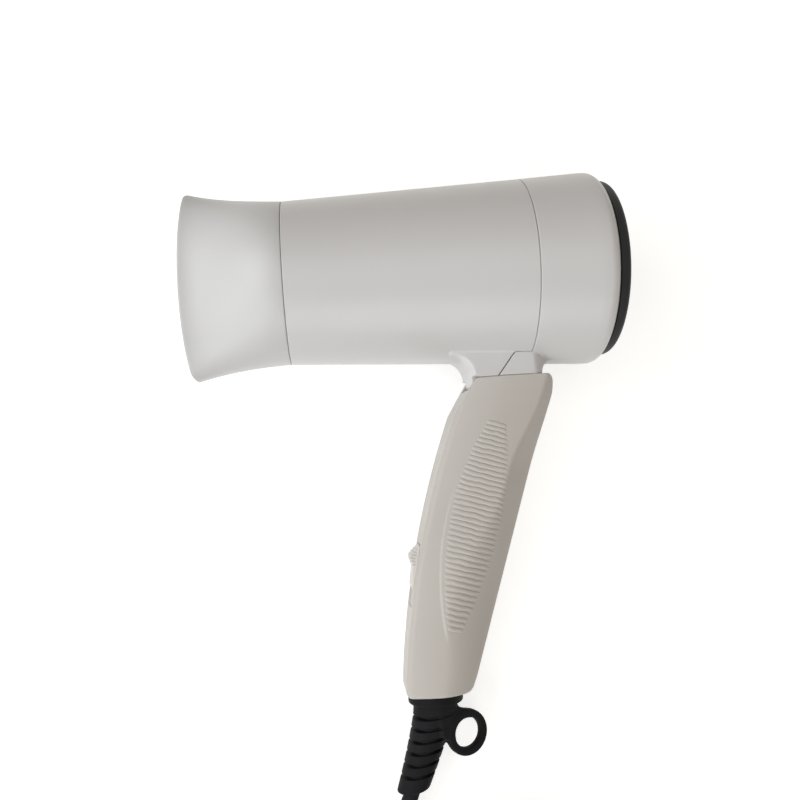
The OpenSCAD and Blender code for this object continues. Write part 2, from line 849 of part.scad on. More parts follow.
module strain_relief()
  color([0.13, 0.13, 0.14])
    lay()
      difference() {
        union() {
          disc([collar_x, handle_end - 0.05, 0], collar_t, collar_r);
          disc([collar_x, relief_seat, 0], 3, collar_bore_r);
          disc([collar_x - 0.3, relief_top_y, 0], 3.4, 8.2);
          for (i = [0 : relief_rings - 1])
            let (t = relief_t(relief_ring_y - i * relief_ring_step),
                 h = i < relief_rings - 1 ? relief_ring_h : relief_end_ring_h)
              disc(relief_at(t), h, relief_top_r + (relief_end_r - relief_top_r) * t);
          // core that joins the rings
          for (i = [0 : 2 * relief_rings - 1])
            let (t = i / (2 * relief_rings))
              disc(relief_at(t), (relief_top_y - relief_end_y) / (2 * relief_rings) + eps, 4.2 - t * 0.6);
          // hanging loop and its web
          translate(loop_at)
            rotate([0, loop_turn, 0])
              translate([0, 0, -loop_t / 2]) {
                cylinder(h = loop_t, r = loop_r + loop_t);
                linear_extrude(height = loop_t)
                  polygon([[-10.5, 11], [-2.5, 9.4], [2.5, 7.3], [0, 0], [-6.5, -2.4], [-10, 0]]);
              }
        }
        translate(loop_at)
          rotate([0, loop_turn, 0])
            cylinder(h = 3 * loop_t, r = loop_r, center = true);
      }

// ---------------------------------------------------------------- mains lead

// Route of the lead on the floor, from the strain relief to the coil, and from the coil to the plug
cord_route = [lay_point([relief_end_x + 0.5, relief_end_y + 2, 0]), lay_point([relief_end_x, relief_end_y, 0]),
  [-10.2, -117, 5.4], [-12.1, -124, 4.4], [-14, -131, 3.6], [-15.6, -138, 3.2], [-16.9, -145, 3.3],
  [-17.5, -151, 3.6], [-17.6, -157, 3.75]];
tail_route = [[33, -212.6, 9.45], [38, -212.6, 9.5], [43, -212.6, 10.1], [48, -212.6, 11], [53, -212.6, 12],
  [58, -212.6, 12.5], [61, -212.6, 12.5]];
coil_at = [25, -170, 0.9];
cord_sides = 10;

module power_cord()
  color([0.12, 0.12, 0.13]) wire(cord_route, cord_r, cord_sides);

module cord_tail()
  color([0.12, 0.12, 0.13]) wire(tail_route, cord_r, cord_sides);

coil_half_w = coil_across * cord_r;
coil_top = 2 * cord_r * coil_high;

module cord_coil()
  color([0.14, 0.14, 0.15])
    translate(coil_at)
      rotate_extrude()
        translate([coil_r - coil_half_w, 0]) square([2 * coil_half_w, coil_top]);

tie_w = 9;
tie_t = 0.8;
tie_turn = 215;
tie_x0 = (coil_r - coil_half_w) * cos(12) - 0.05;
tie_x1 = coil_r + coil_half_w + 0.05;

module coil_tie()
  color([0.1, 0.1, 0.1])
    translate(coil_at)
      rotate([0, 0, tie_turn])
        translate([0, -tie_w / 2, 0])
          difference() {
            union() {
              translate([tie_x0 - tie_t, 0, -tie_t]) cube([tie_x1 - tie_x0 + 2 * tie_t, tie_w, coil_top + 2.1 * tie_t]);
              translate([tie_x0 + 4, 0, coil_top + tie_t]) cube([tie_x1 - tie_x0 - 1, tie_w, tie_t]);
            }
            translate([tie_x0, -1, -0.05]) cube([tie_x1 - tie_x0, tie_w + 2, coil_top + 0.1]);
          }

// Plug, lying on the flat of its side with its pins along +x
plug_at = [98, -212.6, 12.5];
plug_r = 17.5;
plug_half_h = 12.5;
plug_base_l = 11;
plug_grip_l = 26;
pin_r = 2.4;
pin_l = 19;
pin_pitch = 19;
// The root of each pin, in the plug, is thinner than the pin
pin_root_r = 2;
pin_x0 = 0.3;

module plug_body()
  color([0.12, 0.12, 0.13])
    translate(plug_at)
      difference() {
        union() {
          intersection() {
            turned([[0, -plug_base_l], [plug_r - 3, -plug_base_l], [plug_r, -plug_base_l + 3], [plug_r, -1],
              [plug_r - 1, 0], [0, 0]]);
            translate([-plug_base_l, -20, -plug_half_h]) cube([plug_base_l, 40, 2 * plug_half_h]);
          }
          turned([[0, -plug_base_l - plug_grip_l], [4.6, -plug_base_l - plug_grip_l],
            [5.4, -plug_base_l - 18], [8.6, -plug_base_l - 14], [9.6, -plug_base_l - 9], [8.4, -plug_base_l - 5],
            [10.5, -plug_base_l + 0.5], [0, -plug_base_l + 0.5]]);
        }
        for (side = [-1, 1]) translate([0, side * pin_pitch / 2, 0]) rod(-8, 1, pin_root_r);
      }

module plug_pins()
  color("silver")
    translate(plug_at)
      for (side = [-1, 1])
        translate([0, side * pin_pitch / 2, 0]) {
          rod(-8, pin_x0 + 0.5, pin_root_r);
          rod(pin_x0, pin_l - 1.2, pin_r);
          turned([[0, pin_l - 1.2], [pin_r, pin_l - 1.2], [1.4, pin_l], [0, pin_l]]);
        }

nozzle();
front_casing();
rear_casing();
inlet_grille();
inlet_mesh();
casing_screws();
outlet_grille();
mica_liner();
mica_board_upright();
mica_board_flat();
heater_coils();
thermostat();
thermal_fuse();
fan_housing();
fan_impeller();
motor_shaft();
armature();
motor_magnets();
motor_can();
motor_end_cap();
motor_bushes();
diode_board();
barrel_leads();
handle_shell_near();
handle_shell_far();
handle_screws();
hinge_pin();
switch_knob();
switch_body();
capacitor();
cord_clamp();
clamp_screws();
handle_leads();
strain_relief();
power_cord();
cord_coil();
cord_tail();
coil_tie();
plug_body();
plug_pins();
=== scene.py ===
# %% [markdown]
# # A folding hair dryer, dressed for display
#
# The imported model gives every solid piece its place. This lesson gives the pieces their soft edges,
# ribs and finishes. Lengths are in millimetres in the dryer's own axes (u along the barrel, v from
# the handle to the barrel, w across), and are laid down into the model's frame at the end.

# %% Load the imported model
import bpy
import bmesh
import json
import math
import numpy as np
from functools import reduce
from mathutils import Matrix, Vector


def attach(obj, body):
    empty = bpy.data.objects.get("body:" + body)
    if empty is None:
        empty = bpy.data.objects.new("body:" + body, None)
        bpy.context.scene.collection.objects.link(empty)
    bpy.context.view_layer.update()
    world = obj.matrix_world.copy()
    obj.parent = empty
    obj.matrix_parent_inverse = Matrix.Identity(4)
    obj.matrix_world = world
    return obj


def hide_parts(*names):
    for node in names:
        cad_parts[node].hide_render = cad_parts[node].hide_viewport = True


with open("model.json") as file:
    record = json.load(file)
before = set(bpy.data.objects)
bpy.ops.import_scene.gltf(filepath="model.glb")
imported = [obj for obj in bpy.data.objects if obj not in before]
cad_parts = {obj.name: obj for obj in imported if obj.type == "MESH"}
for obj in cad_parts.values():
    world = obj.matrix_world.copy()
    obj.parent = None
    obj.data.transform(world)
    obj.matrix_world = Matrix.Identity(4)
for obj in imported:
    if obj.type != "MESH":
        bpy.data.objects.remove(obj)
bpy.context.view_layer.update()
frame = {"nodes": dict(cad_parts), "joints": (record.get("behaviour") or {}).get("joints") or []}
nodes = frame["nodes"]

# %% [markdown]
# ## The dryer's own axes
#
# The dryer lies on its side, so its axes are tilted in the frame. The joints know them: the nozzle
# turns about the barrel, and the handle folds across it. Reading the axes there keeps this lesson
# right if the dryer is ever laid down another way.

# %% Axes from the joints
joint = {j["name"]: j for j in frame["joints"]}
along = np.array(joint["nozzle_turn"]["axis"])
across = np.array(joint["handle_fold"]["axis"])
AXES = np.array([along, np.cross(across, along), across])
SEAM = np.array(joint["nozzle_turn"]["pos_m"])


def lay(points):
    """Points in the dryer's axes, in mm, laid down into the frame, in metres."""
    return np.asarray(points, float) / 1000 @ AXES + SEAM


print("barrel axis", along.round(3), "starts at", SEAM.round(4))

# %% [markdown]
# ## Camera
#
# The camera looks down on the lying dryer from a little below the barrel, with a moderate lens, so
# that the handle hangs towards the viewer's feet.

# %% Camera
def linked(name, data):
    """An object with its data, in the scene."""
    thing = bpy.data.objects.new(name, data)
    bpy.context.scene.collection.objects.link(thing)
    return thing


CAMERA_AT, LENS, SENSOR = (15.2, -66.5, 294.1), 35.55, 36
turn = Matrix.Identity(3)
for axis, degrees in (("Y", -4.70), ("X", 4.0), ("Z", -3.85)):
    turn = turn @ Matrix.Rotation(math.radians(degrees), 3, axis)
camera = linked("camera", bpy.data.cameras.new("camera"))
camera.matrix_world = (Matrix.Translation(Vector(lay(CAMERA_AT)))
                       @ (Matrix(AXES.T.tolist()) @ turn).to_4x4())
camera.data.lens = LENS
camera.data.sensor_width = SENSOR
bpy.context.scene.camera = camera
bpy.context.scene.view_settings.view_transform = "Standard"
print("camera at", [round(c, 3) for c in camera.location])

# %% [markdown]
# ## Helpers for meshes
#
# Every finished piece keeps its object at the origin, with its place in its mesh. `make_mesh` builds
# such a piece from points and faces, and shades it smooth except across sharp edges.

# %% Mesh helpers
def make_mesh(name, points, faces, sharp=40):
    """A piece from points in metres, smooth except where faces meet at more than `sharp` degrees."""
    mesh = bpy.data.meshes.new(name)
    faces = faces.tolist() if isinstance(faces, np.ndarray) else faces
    mesh.from_pydata(np.asarray(points).tolist(), [], faces)
    mesh.validate()
    mesh.polygons.foreach_set("use_smooth", np.ones(len(mesh.polygons), bool))
    mesh.set_sharp_from_angle(angle=math.radians(sharp))
    return linked(name, mesh)


def merged(piece, distance=1e-6):
    """Doubles merged and faces turned outwards, for a closed form with no hollow inside."""
    work = bmesh.new()
    work.from_mesh(piece.data)
    bmesh.ops.remove_doubles(work, verts=work.verts, dist=distance)
    bmesh.ops.recalc_face_normals(work, faces=work.faces)
    work.to_mesh(piece.data)
    work.free()
    return piece


def skin_loop(rings):
    """Points and faces over rings of points, the last ring joined to the first, as on a washer."""
    rings = np.asarray(rings, float)
    m, n = rings.shape[:2]
    faces = []
    for j in range(m):
        here, there = j * n, (j + 1) % m * n
        faces += [[here + a, here + (a + 1) % n, there + (a + 1) % n, there + a] for a in range(n)]
    return rings.reshape(-1, 3), faces


dressed_nodes = {"power_cord", "cord_coil", "cord_tail"}  # the lead stands for these


def finish_piece(piece, body, material, *replaced):
    """A piece with its finish, moving with its body and standing for the nodes named."""
    piece.data.materials.clear()
    piece.data.materials.append(material)
    if replaced:
        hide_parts(*replaced)
        dressed_nodes.update(replaced)
    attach(piece, body)
    print(f"{piece.name}: {len(piece.data.polygons)} faces")
    return piece


print("a washer of 3 rings and 8 sides has", len(skin_loop(np.zeros((3, 8, 3)))[1]), "faces")

# %% [markdown]
# ## Forms from rules
#
# A moulded casing is a sum of simple rules: a cone, a block, a hollow, and a fillet wherever two of
# them meet. Each rule here is a distance: below zero is plastic, above zero is air. `meet` keeps what
# two rules share and `join` adds them, both with a rounded edge, as `overlap` and `added` do with a
# sharp one. `net` then stretches a mesh of quads over the zero level and slides its points exactly
# onto it. A subdivision cage could give the same form, but the fillets would be drawn by hand.

# %% Distance rules
def overlap(*rules):
    """What all the rules share, with sharp edges."""
    return reduce(np.maximum, rules)


def added(*rules):
    """All the rules together, with sharp corners."""
    return reduce(np.minimum, rules)


def meet(a, b, r):
    """What two rules share, with an edge of radius r."""
    return np.minimum(np.maximum(a, b), -r) + np.hypot(np.maximum(a + r, 0), np.maximum(b + r, 0))


def join(a, b, r):
    """Two rules together, with a fillet of radius r."""
    return -meet(-a, -b, r)


def arc(cx, cy, r, start, end, count):
    """Corners along an arc, from one angle to another, in degrees."""
    turn = np.radians(np.linspace(start, end, count))
    return [(cx + r * math.cos(a), cy + r * math.sin(a)) for a in turn]


def outline_distance(outline, x, y):
    """Distance from a flat outline, below zero inside it."""
    square = np.full(np.broadcast(x, y).shape, 1e12)
    sign = np.ones(square.shape)
    for (ax, ay), (bx, by) in zip(outline, outline[1:] + outline[:1]):
        ex, ey = bx - ax, by - ay
        px, py = x - ax, y - ay
        t = np.clip((px * ex + py * ey) / (ex * ex + ey * ey + 1e-12), 0, 1)
        square = np.minimum(square, (px - ex * t) ** 2 + (py - ey * t) ** 2)
        over, under, left = py >= 0, y < by, ex * py > ey * px
        sign = np.where((over & under & left) | (~over & ~under & ~left), -sign, sign)
    return sign * np.sqrt(square)


print("rounding a square corner by 1 mm takes", round(float(meet(0.0, 0.0, 1.0)), 3), "mm off it")

# %% Where a grid crosses the zero level
def steps(*runs):
    """Stations along an axis, from runs of (start, end, step)."""
    parts = [np.arange(a, b - s * 0.5, s) for a, b, s in runs]
    return np.concatenate(parts + [[runs[-1][1]]])


CORNERS = [(i, j, k) for i in (0, 1) for j in (0, 1) for k in (0, 1)]


def crossings(value, axes, at):
    """For each cell of the grid, the mean of the places where its edges cross zero."""
    total, count = np.zeros((len(at), 3)), np.zeros(len(at))
    for first in CORNERS:
        for axis in range(3):
            if first[axis]:
                continue
            second = list(first)
            second[axis] = 1
            low, high = at + first, at + second
            f0, f1 = value[tuple(low.T)], value[tuple(high.T)]
            crossed = (f0 < 0) != (f1 < 0)
            t = f0 / np.where(crossed, f0 - f1, 1)
            point = np.stack([axes[d][low[:, d]] for d in range(3)], 1)
            point[:, axis] += t * (axes[axis][high[:, axis]] - axes[axis][low[:, axis]])
            total[crossed] += point[crossed]
            count[crossed] += 1
    return total / count[:, None]


print("stations over 6 mm, finer at the end:", steps((0, 4, 1), (4, 6, 0.5)))

# %% Points onto the form, and quads between them
def slid_onto(rule, points, passes=3, reach=0.6, h=0.02):
    """Points moved down the rule's slope to its zero level, by up to `reach` mm in a pass."""
    for _ in range(passes):
        f = rule(*points.T)
        slope = np.stack([(rule(*(points + step).T) - rule(*(points - step).T)) / (2 * h)
                          for step in np.eye(3) * h], 1)
        move = (f / np.maximum((slope ** 2).sum(1), 0.05))[:, None] * slope
        points = points - np.clip(move, -reach, reach)
    return points


def quads_between(solid, number):
    """A quad across each step of the grid that passes from plastic to air, turned outwards."""
    quads = []
    for axis in range(3):
        b, c = (axis + 1) % 3, (axis + 2) % 3
        order = np.transpose(solid, (axis, b, c))
        cells = np.transpose(number, (axis, b, c))
        low, high = order[:-1, 1:-1, 1:-1], order[1:, 1:-1, 1:-1]
        i, j, k = np.nonzero(low != high)
        quad = np.stack([cells[i, j, k], cells[i, j + 1, k], cells[i, j + 1, k + 1], cells[i, j, k + 1]], 1)
        outward = low[i, j, k]
        quads.append(np.where(outward[:, None], quad, quad[:, ::-1]))
    return np.concatenate(quads)


def off_ball(x, y, z, radius=5):
    return np.sqrt(x * x + y * y + z * z) - radius


trial = slid_onto(off_ball, np.array([[5.3, 0.0, 0.0]]))
print("a point 0.3 mm off a ball slides to", f"{abs(off_ball(*trial[0])):.1e}", "mm off it")

# %% A net over the zero level
def net(rule, axes, place=lambda a, b, c: (a, b, c)):
    """Points in mm and quads of the surface where rule is zero, on a grid along three axes."""
    grid = np.meshgrid(*axes, indexing="ij", sparse=True)
    value = np.broadcast_to(rule(*place(*grid)), [len(a) for a in axes]).copy()
    value[value == 0] = 1e-9
    solid = value < 0
    shape = [len(a) - 1 for a in axes]
    filled = sum(solid[i:i + shape[0], j:j + shape[1], k:k + shape[2]].astype(np.int8)
                 for i, j, k in CORNERS)
    cell = (filled > 0) & (filled < 8)
    number = np.full(shape, -1)
    number[cell] = np.arange(cell.sum())
    spot = crossings(value, axes, np.argwhere(cell))
    points = np.stack(np.broadcast_arrays(*place(*spot.T)), 1)
    return slid_onto(rule, points), quads_between(solid, number)


ball, faces = net(off_ball, [steps((-6, 6, 0.9))] * 3)
print("a ball of", len(faces), "quads is off by", f"{np.abs(off_ball(*ball.T)).max():.1e}", "mm at most")

# %% [markdown]
# ## The mains lead
#
# A lead is a fixed length of round cable. It leaves its strain relief towards the floor, and what
# isn't needed is wound as for storage: four turns side by side, and more turns on top of them. One
# Bezier curve with a round bevel holds the whole length, so its thickness can't change in a bend.

# %% Route of the lead
LEAD_R = 2.85
COIL_AT = (25.0, -170.0, 0.9)
TURN_RADII = [42.55, 36.85, 31.15, 25.45]
LAST, WOUND_TURNS, KNOTS_A_TURN = len(TURN_RADII) - 1, 7.25, 20
LOW, HIGH = COIL_AT[2] + LEAD_R, COIL_AT[2] + 3 * LEAD_R


def ease(t):
    """A soft rise from 0 to 1."""
    t = np.clip(t, 0, 1)
    return t * t * (3 - 2 * t)


def coil_point(turns):
    """A point of the coil after so many turns: four inwards on the floor, then outwards on top."""
    k, part = int(turns), (turns - int(turns)) * 360
    if k <= LAST:
        inner = TURN_RADII[min(k + 1, LAST)]
        radius = TURN_RADII[k] + (inner - TURN_RADII[k]) * ease((part - 300) / 60)
        height = LOW + (HIGH - LOW) * (ease((part - 240) / 60) if k == LAST else 0)
    else:
        low_k = 2 * LAST + 1 - k
        outer = TURN_RADII[max(low_k - 1, 0)]
        radius = TURN_RADII[low_k] + (outer - TURN_RADII[low_k]) * ease((part - 180) / 60)
        height = HIGH
    angle = math.radians(180 + turns * 360)
    return (COIL_AT[0] + radius * math.cos(angle), COIL_AT[1] + radius * math.sin(angle), height)


relief_mouth = list(lay([(35.2, -184.8, 0), (34.7, -186.8, 0)]) * 1000)
to_coil = [(-10.2, -117, 5.4), (-12.1, -124, 4.4), (-14, -131, 3.6), (-15.6, -138, 3.2),
           (-16.9, -145, 3.3), (-17.5, -151, 3.6), (-17.6, -157, 3.75)]
to_plug = [(33, -212.6, 9.45), (38, -212.6, 9.5), (43, -212.6, 10.1), (48, -212.6, 11),
           (53, -212.6, 12), (58, -212.6, 12.5), (61, -212.6, 12.5)]
wound = [coil_point(t) for t in np.linspace(0, WOUND_TURNS, int(WOUND_TURNS * KNOTS_A_TURN) + 1)]
route = np.array(relief_mouth + to_coil + wound + to_plug) / 1000

# %% The lead as a curve
lead_curve = bpy.data.curves.new("mains_lead", "CURVE")
lead_curve.dimensions = "3D"
lead_curve.bevel_depth = LEAD_R / 1000
lead_curve.bevel_resolution = 4
lead_curve.resolution_u = 3
lead_curve.use_fill_caps = True
spline = lead_curve.splines.new("BEZIER")
spline.bezier_points.add(len(route) - 1)
for knot, point in zip(spline.bezier_points, route):
    knot.co = point
    knot.handle_left_type = knot.handle_right_type = "AUTO"
mains_lead = linked("mains_lead", lead_curve)
print("lead curve:", len(spline.bezier_points), "knots,", 2 * LEAD_R, "mm thick")

# %% [markdown]
# ## Floor and light
#
# The dryer lies on a white table. Four soft lamps stand to its left and below the handle, low enough
# to model its rounding, and a fifth hangs overhead, so the nozzle and the front of the handle are
# brightest and the back of the handle falls away. A warm, weak room light fills the shade. The table
# is lit, so it keeps the dryer's shadow. Whoever looks at the table or the room, straight or in a
# gloss, sees them white: `shown_to_eye` tells those rays from the ones that light the dryer. A white
# screen round the scene could do that too, but it would stand in front of some cameras.

# %% Table
TABLE_HALF, TABLE_GLOW = 3, 0.62


def feed(node, values):
    """Values for a node's inputs, by name or number."""
    for socket, value in values.items():
        node.inputs[socket].default_value = value


def shown_to_eye(tree):
    """1 for rays from the camera, off a gloss or through glass, and 0 for all others."""
    rays = tree.nodes.new("ShaderNodeLightPath")
    shown = rays.outputs["Is Camera Ray"]
    for kind in ("Is Glossy Ray", "Is Transmission Ray"):
        more = tree.nodes.new("ShaderNodeMath")
        more.operation = "MAXIMUM"
        tree.links.new(shown, more.inputs[0])
        tree.links.new(rays.outputs[kind], more.inputs[1])
        shown = more.outputs[0]
    return shown


table_corners = [(x * TABLE_HALF, y * TABLE_HALF, 0) for x, y in ((-1, -1), (1, -1), (1, 1), (-1, 1))]
table = make_mesh("table", table_corners, [[0, 1, 2, 3]])
table_finish = bpy.data.materials.new("white_table")
table_finish.use_nodes = True
tree = table_finish.node_tree
tree.nodes.clear()
kinds = ("OutputMaterial", "BsdfDiffuse", "Emission", "AddShader", "Math")
output, paper, glow, both, strength = (tree.nodes.new(f"ShaderNode{kind}") for kind in kinds)
feed(paper, {"Color": (0.84, 0.84, 0.83, 1)})
strength.operation = "MULTIPLY"
feed(strength, {1: TABLE_GLOW})
tree.links.new(shown_to_eye(tree), strength.inputs[0])
tree.links.new(strength.outputs[0], glow.inputs["Strength"])
tree.links.new(paper.outputs[0], both.inputs[0])
tree.links.new(glow.outputs[0], both.inputs[1])
tree.links.new(both.outputs[0], output.inputs["Surface"])
table.data.materials.append(table_finish)
print("table:", list(table.dimensions[:2]), "m, with", len(tree.nodes), "nodes in its finish")

# %% Lamps
LAMP_SIZE, LAMP_AIM, LAMP_TINT = 0.9, (0, 0, 0.02), (0.93, 0.967, 1.0)


def soft_lamp(name, place, power):
    """A round, soft lamp that looks at the dryer, its power in watts."""
    lamp = bpy.data.lights.new(name, "AREA")
    lamp.shape, lamp.size, lamp.energy, lamp.color = "DISK", LAMP_SIZE, power, LAMP_TINT
    stand = linked(name, lamp)
    stand.location = place
    stand.rotation_euler = (Vector(LAMP_AIM) - Vector(place)).to_track_quat("-Z", "Y").to_euler()


soft_lamp("left_light", (-1.1, 0.05, 0.45), 4.0)
soft_lamp("corner_light", (-0.8, -0.75, 0.6), 4.3)
soft_lamp("low_light", (0.0, -1.1, 0.5), 3.2)
soft_lamp("high_light", (-0.9, 0.3, 0.9), 2.7)
soft_lamp("overhead_light", (0.0, 0.0, 1.3), 1.7)

# %% The room
world = bpy.data.worlds.new("room")
bpy.context.scene.world = world
world.use_nodes = True
tree = world.node_tree
room_light, backdrop = tree.nodes["Background"], tree.nodes.new("ShaderNodeBackground")
feed(room_light, {"Color": (1.0, 0.86, 0.70, 1), "Strength": 0.265})
feed(backdrop, {"Color": (1, 1, 1, 1), "Strength": 1.0})
either = tree.nodes.new("ShaderNodeMixShader")
tree.links.new(shown_to_eye(tree), either.inputs["Fac"])
tree.links.new(room_light.outputs[0], either.inputs[1])
tree.links.new(backdrop.outputs[0], either.inputs[2])
tree.links.new(either.outputs[0], tree.nodes["World Output"].inputs["Surface"])
print("room light:", round(room_light.inputs["Strength"].default_value, 3))

# %% [markdown]
# ## Finishes
#
# Moulded plastic is never one flat colour: it is a little mottled, its gloss is uneven where hands
# hold it, and its surface has a fine grain. `moulded` builds that from three noises in object
# coordinates: a wide one for colour, a middle one for gloss and a fine one for the bump. Image
# textures could do the same, but they would have to be unwrapped and shipped along.

# %% A finish for moulded and turned pieces
def colour(r, g, b):
    """A colour as it is seen on a screen, 0 to 255, as the shader wants it."""
    return tuple(((c / 255 + 0.055) / 1.055) ** 2.4 if c > 10 else c / 3294.6 for c in (r, g, b)) + (1,)


def moulded(name, base, rough, vary=0.05, grain=900, bump=0.02, metal=0.0, coat=0.0,
            stretch=(1, 1, 1), specular=0.5):
    """A finish whose colour varies by the share `vary` and whose gloss and bump are a little uneven."""
    finish = bpy.data.materials.new(name)
    finish.use_nodes = True
    tree = finish.node_tree
    add, link = tree.nodes.new, tree.links.new
    shader = tree.nodes["Principled BSDF"]
    feed(shader, {"Metallic": metal, "Coat Weight": coat, "Coat Roughness": 0.25,
                  "Specular IOR Level": specular})
    where, placed = add("ShaderNodeTexCoord"), add("ShaderNodeMapping")
    feed(placed, {"Scale": stretch})
    link(where.outputs["Object"], placed.inputs["Vector"])

    def noise(scale, detail):
        texture = add("ShaderNodeTexNoise")
        feed(texture, {"Scale": scale, "Detail": detail})
        link(placed.outputs["Vector"], texture.inputs["Vector"])
        return texture.outputs["Fac"]

    mottle = add("ShaderNodeValToRGB")
    low, high = (tuple(min(c * f, 1) for c in base[:3]) + (1,) for f in (1 - vary, 1 + vary))
    mottle.color_ramp.elements[0].position, mottle.color_ramp.elements[0].color = 0.32, low
    mottle.color_ramp.elements[1].position, mottle.color_ramp.elements[1].color = 0.68, high
    link(noise(28, 4), mottle.inputs["Fac"])
    link(mottle.outputs["Color"], shader.inputs["Base Color"])
    gloss = add("ShaderNodeMapRange")
    feed(gloss, {"From Min": 0.3, "From Max": 0.7, "To Min": rough * 0.85, "To Max": min(rough * 1.2, 1)})
    link(noise(60, 6), gloss.inputs["Value"])
    link(gloss.outputs["Result"], shader.inputs["Roughness"])
    relief = add("ShaderNodeBump")
    feed(relief, {"Strength": bump * 10, "Distance": 0.0001})
    link(noise(grain, 3), relief.inputs["Height"])
    link(relief.outputs["Normal"], shader.inputs["Normal"])
    return finish


print("a mid grey of 128 is", round(colour(128, 128, 128)[0], 3), "to the shader")

# %% Finishes of the outer pieces
casing_finish = moulded("barrel_plastic", colour(211, 210, 210), 0.34, vary=0.012, bump=0.012, coat=0.15)
nozzle_finish = moulded("nozzle_plastic", colour(206, 206, 206), 0.38, vary=0.012, bump=0.012, coat=0.1)
handle_finish = moulded("handle_plastic", colour(195, 190, 184), 0.46, vary=0.02, grain=1500, bump=0.03)
knob_finish = moulded("knob_plastic", colour(214, 211, 206), 0.42, vary=0.02, bump=0.02)
grille_finish = moulded("grille_plastic", colour(20, 18, 18), 0.5, specular=0.25, vary=0.1, grain=1800,
                        bump=0.05)
rubber_finish = moulded("relief_rubber", colour(11, 11, 13), 0.58, specular=0.12, vary=0.14, grain=1600,
                        bump=0.06)
jacket_finish = moulded("lead_jacket", colour(13, 13, 15), 0.55, specular=0.15, vary=0.12, grain=2200,
                        bump=0.05)
print("finishes, with the packed ones:", len(bpy.data.materials))

# %% [markdown]
# ## The nozzle
#
# The nozzle squeezes a round stream of air into a wide, flat one. It is a loft: its section goes
# from a circle to a squarer, flatter oval, and it ends at an outlet edge that bows out a little. The
# rings are swept from an outer wall over a rounded lip and back along the inner wall, so that the
# piece is one closed shell with a real wall.

# %% Sections of the nozzle
NOZZLE_L, OUTLET_W, OUTLET_D, WALL, SEAM_GAP = 38.2, 36.0, 12.0, 1.6, 0.14
EDGE_BOW, EDGE_CORNER, FRONT_R = 2.8, 4.4, 30.2
edge_r = (OUTLET_W ** 2 + EDGE_BOW ** 2) / (2 * EDGE_BOW)
edge_x = edge_r - NOZZLE_L
edge_a = math.asin((OUTLET_W - EDGE_CORNER) / (edge_r - EDGE_CORNER))
corner_x = edge_x - (edge_r - EDGE_CORNER) * math.cos(edge_a)
corner_v = (edge_r - EDGE_CORNER) * math.sin(edge_a)


def nozzle_section(t, inset, angle):
    """Half width and half depth of the nozzle, t from 0 at the barrel to 1 at the outlet."""
    half_w = FRONT_R + (OUTLET_W - FRONT_R) * t ** 1.9 - inset
    half_d = OUTLET_D + (FRONT_R - OUTLET_D) * (1 + np.cos(np.pi * t)) / 2 - inset
    c, s, power = np.cos(angle), np.sin(angle), 1 - 0.25 * t
    return half_w * np.sign(c) * np.abs(c) ** power, half_d * np.sign(s) * np.abs(s) ** power


def outlet_x(v):
    """Where the bowed outlet edge with its round corners lies along the barrel's axis."""
    v = np.abs(v)
    wide = edge_x - np.sqrt(edge_r ** 2 - v ** 2)
    corner = corner_x - np.sqrt(np.maximum(EDGE_CORNER ** 2 - (v - corner_v) ** 2, 0))
    return np.where(v < corner_v + EDGE_CORNER * math.sin(edge_a), wide, corner)


def nozzle_end(inset, angle):
    """How far along each line of the nozzle its outlet edge lies, 0 to 1."""
    low, high = np.zeros(angle.shape), np.ones(angle.shape)
    for _ in range(30):
        mid = (low + high) / 2
        x = -SEAM_GAP - mid * (NOZZLE_L - SEAM_GAP)
        inside = x > outlet_x(nozzle_section(mid, inset, angle)[0])
        low, high = np.where(inside, mid, low), np.where(inside, high, mid)
    return low


print("nozzle:", 2 * OUTLET_W, "mm wide, its outlet edge on a circle of", round(edge_r, 1), "mm")

# %% Nozzle mesh
ROUND, OUTER_RINGS, INNER_RINGS = 220, 56, 34
BORE_R, INNER_START = 27.45, 0.23
round_about = np.linspace(0, 2 * np.pi, ROUND, endpoint=False)
wall_end = nozzle_end(0, round_about)
profile = []


def nozzle_ring(t, inset):
    """Adds a ring to the nozzle's wall, `inset` mm inside its outer form."""
    v, w = nozzle_section(t, inset, round_about)
    x = -SEAM_GAP - t * (NOZZLE_L - SEAM_GAP)
    profile.append(np.stack(np.broadcast_arrays(x, v, w), 1))


lip = 0.35 / NOZZLE_L
nozzle_ring(np.zeros(ROUND), 0.14)
nozzle_ring(np.full(ROUND, 0.0014), 0.04)
for share in np.concatenate([[0.0035], np.linspace(0.02, 1, OUTER_RINGS)]):
    nozzle_ring(share * (wall_end - lip), 0)
for back, inset in ((0.35, 0.1), (0, 0.4), (0, WALL - 0.4), (0.35, WALL - 0.1)):
    nozzle_ring(wall_end - lip * back, inset)
for share in np.linspace(1, 0, INNER_RINGS):
    nozzle_ring(INNER_START + share * (wall_end - lip - INNER_START), WALL)
for x, r in ((-9.0, BORE_R), (-SEAM_GAP - 0.4, BORE_R), (-SEAM_GAP, BORE_R + 0.35)):
    profile.append(np.stack([np.full(ROUND, x), r * np.cos(round_about), r * np.sin(round_about)], 1))
points, faces = skin_loop(profile)
nozzle = merged(make_mesh("nozzle_dressed", lay(points), faces, sharp=50))
finish_piece(nozzle, "nozzle", nozzle_finish, "nozzle")

# %% [markdown]
# ## The barrel and its neck
#
# The barrel is a slight cone in two casings, and the neck that carries the handle grows out of it.
# The neck's front sweeps down in a hollow curve and its edges are well rounded. A slanting slit parts
# the neck into a front half and a rear half, each moulded with its own casing. A lathe could turn
# the barrel, but not the neck that flows out of it, so both casings are rules that share one neck.

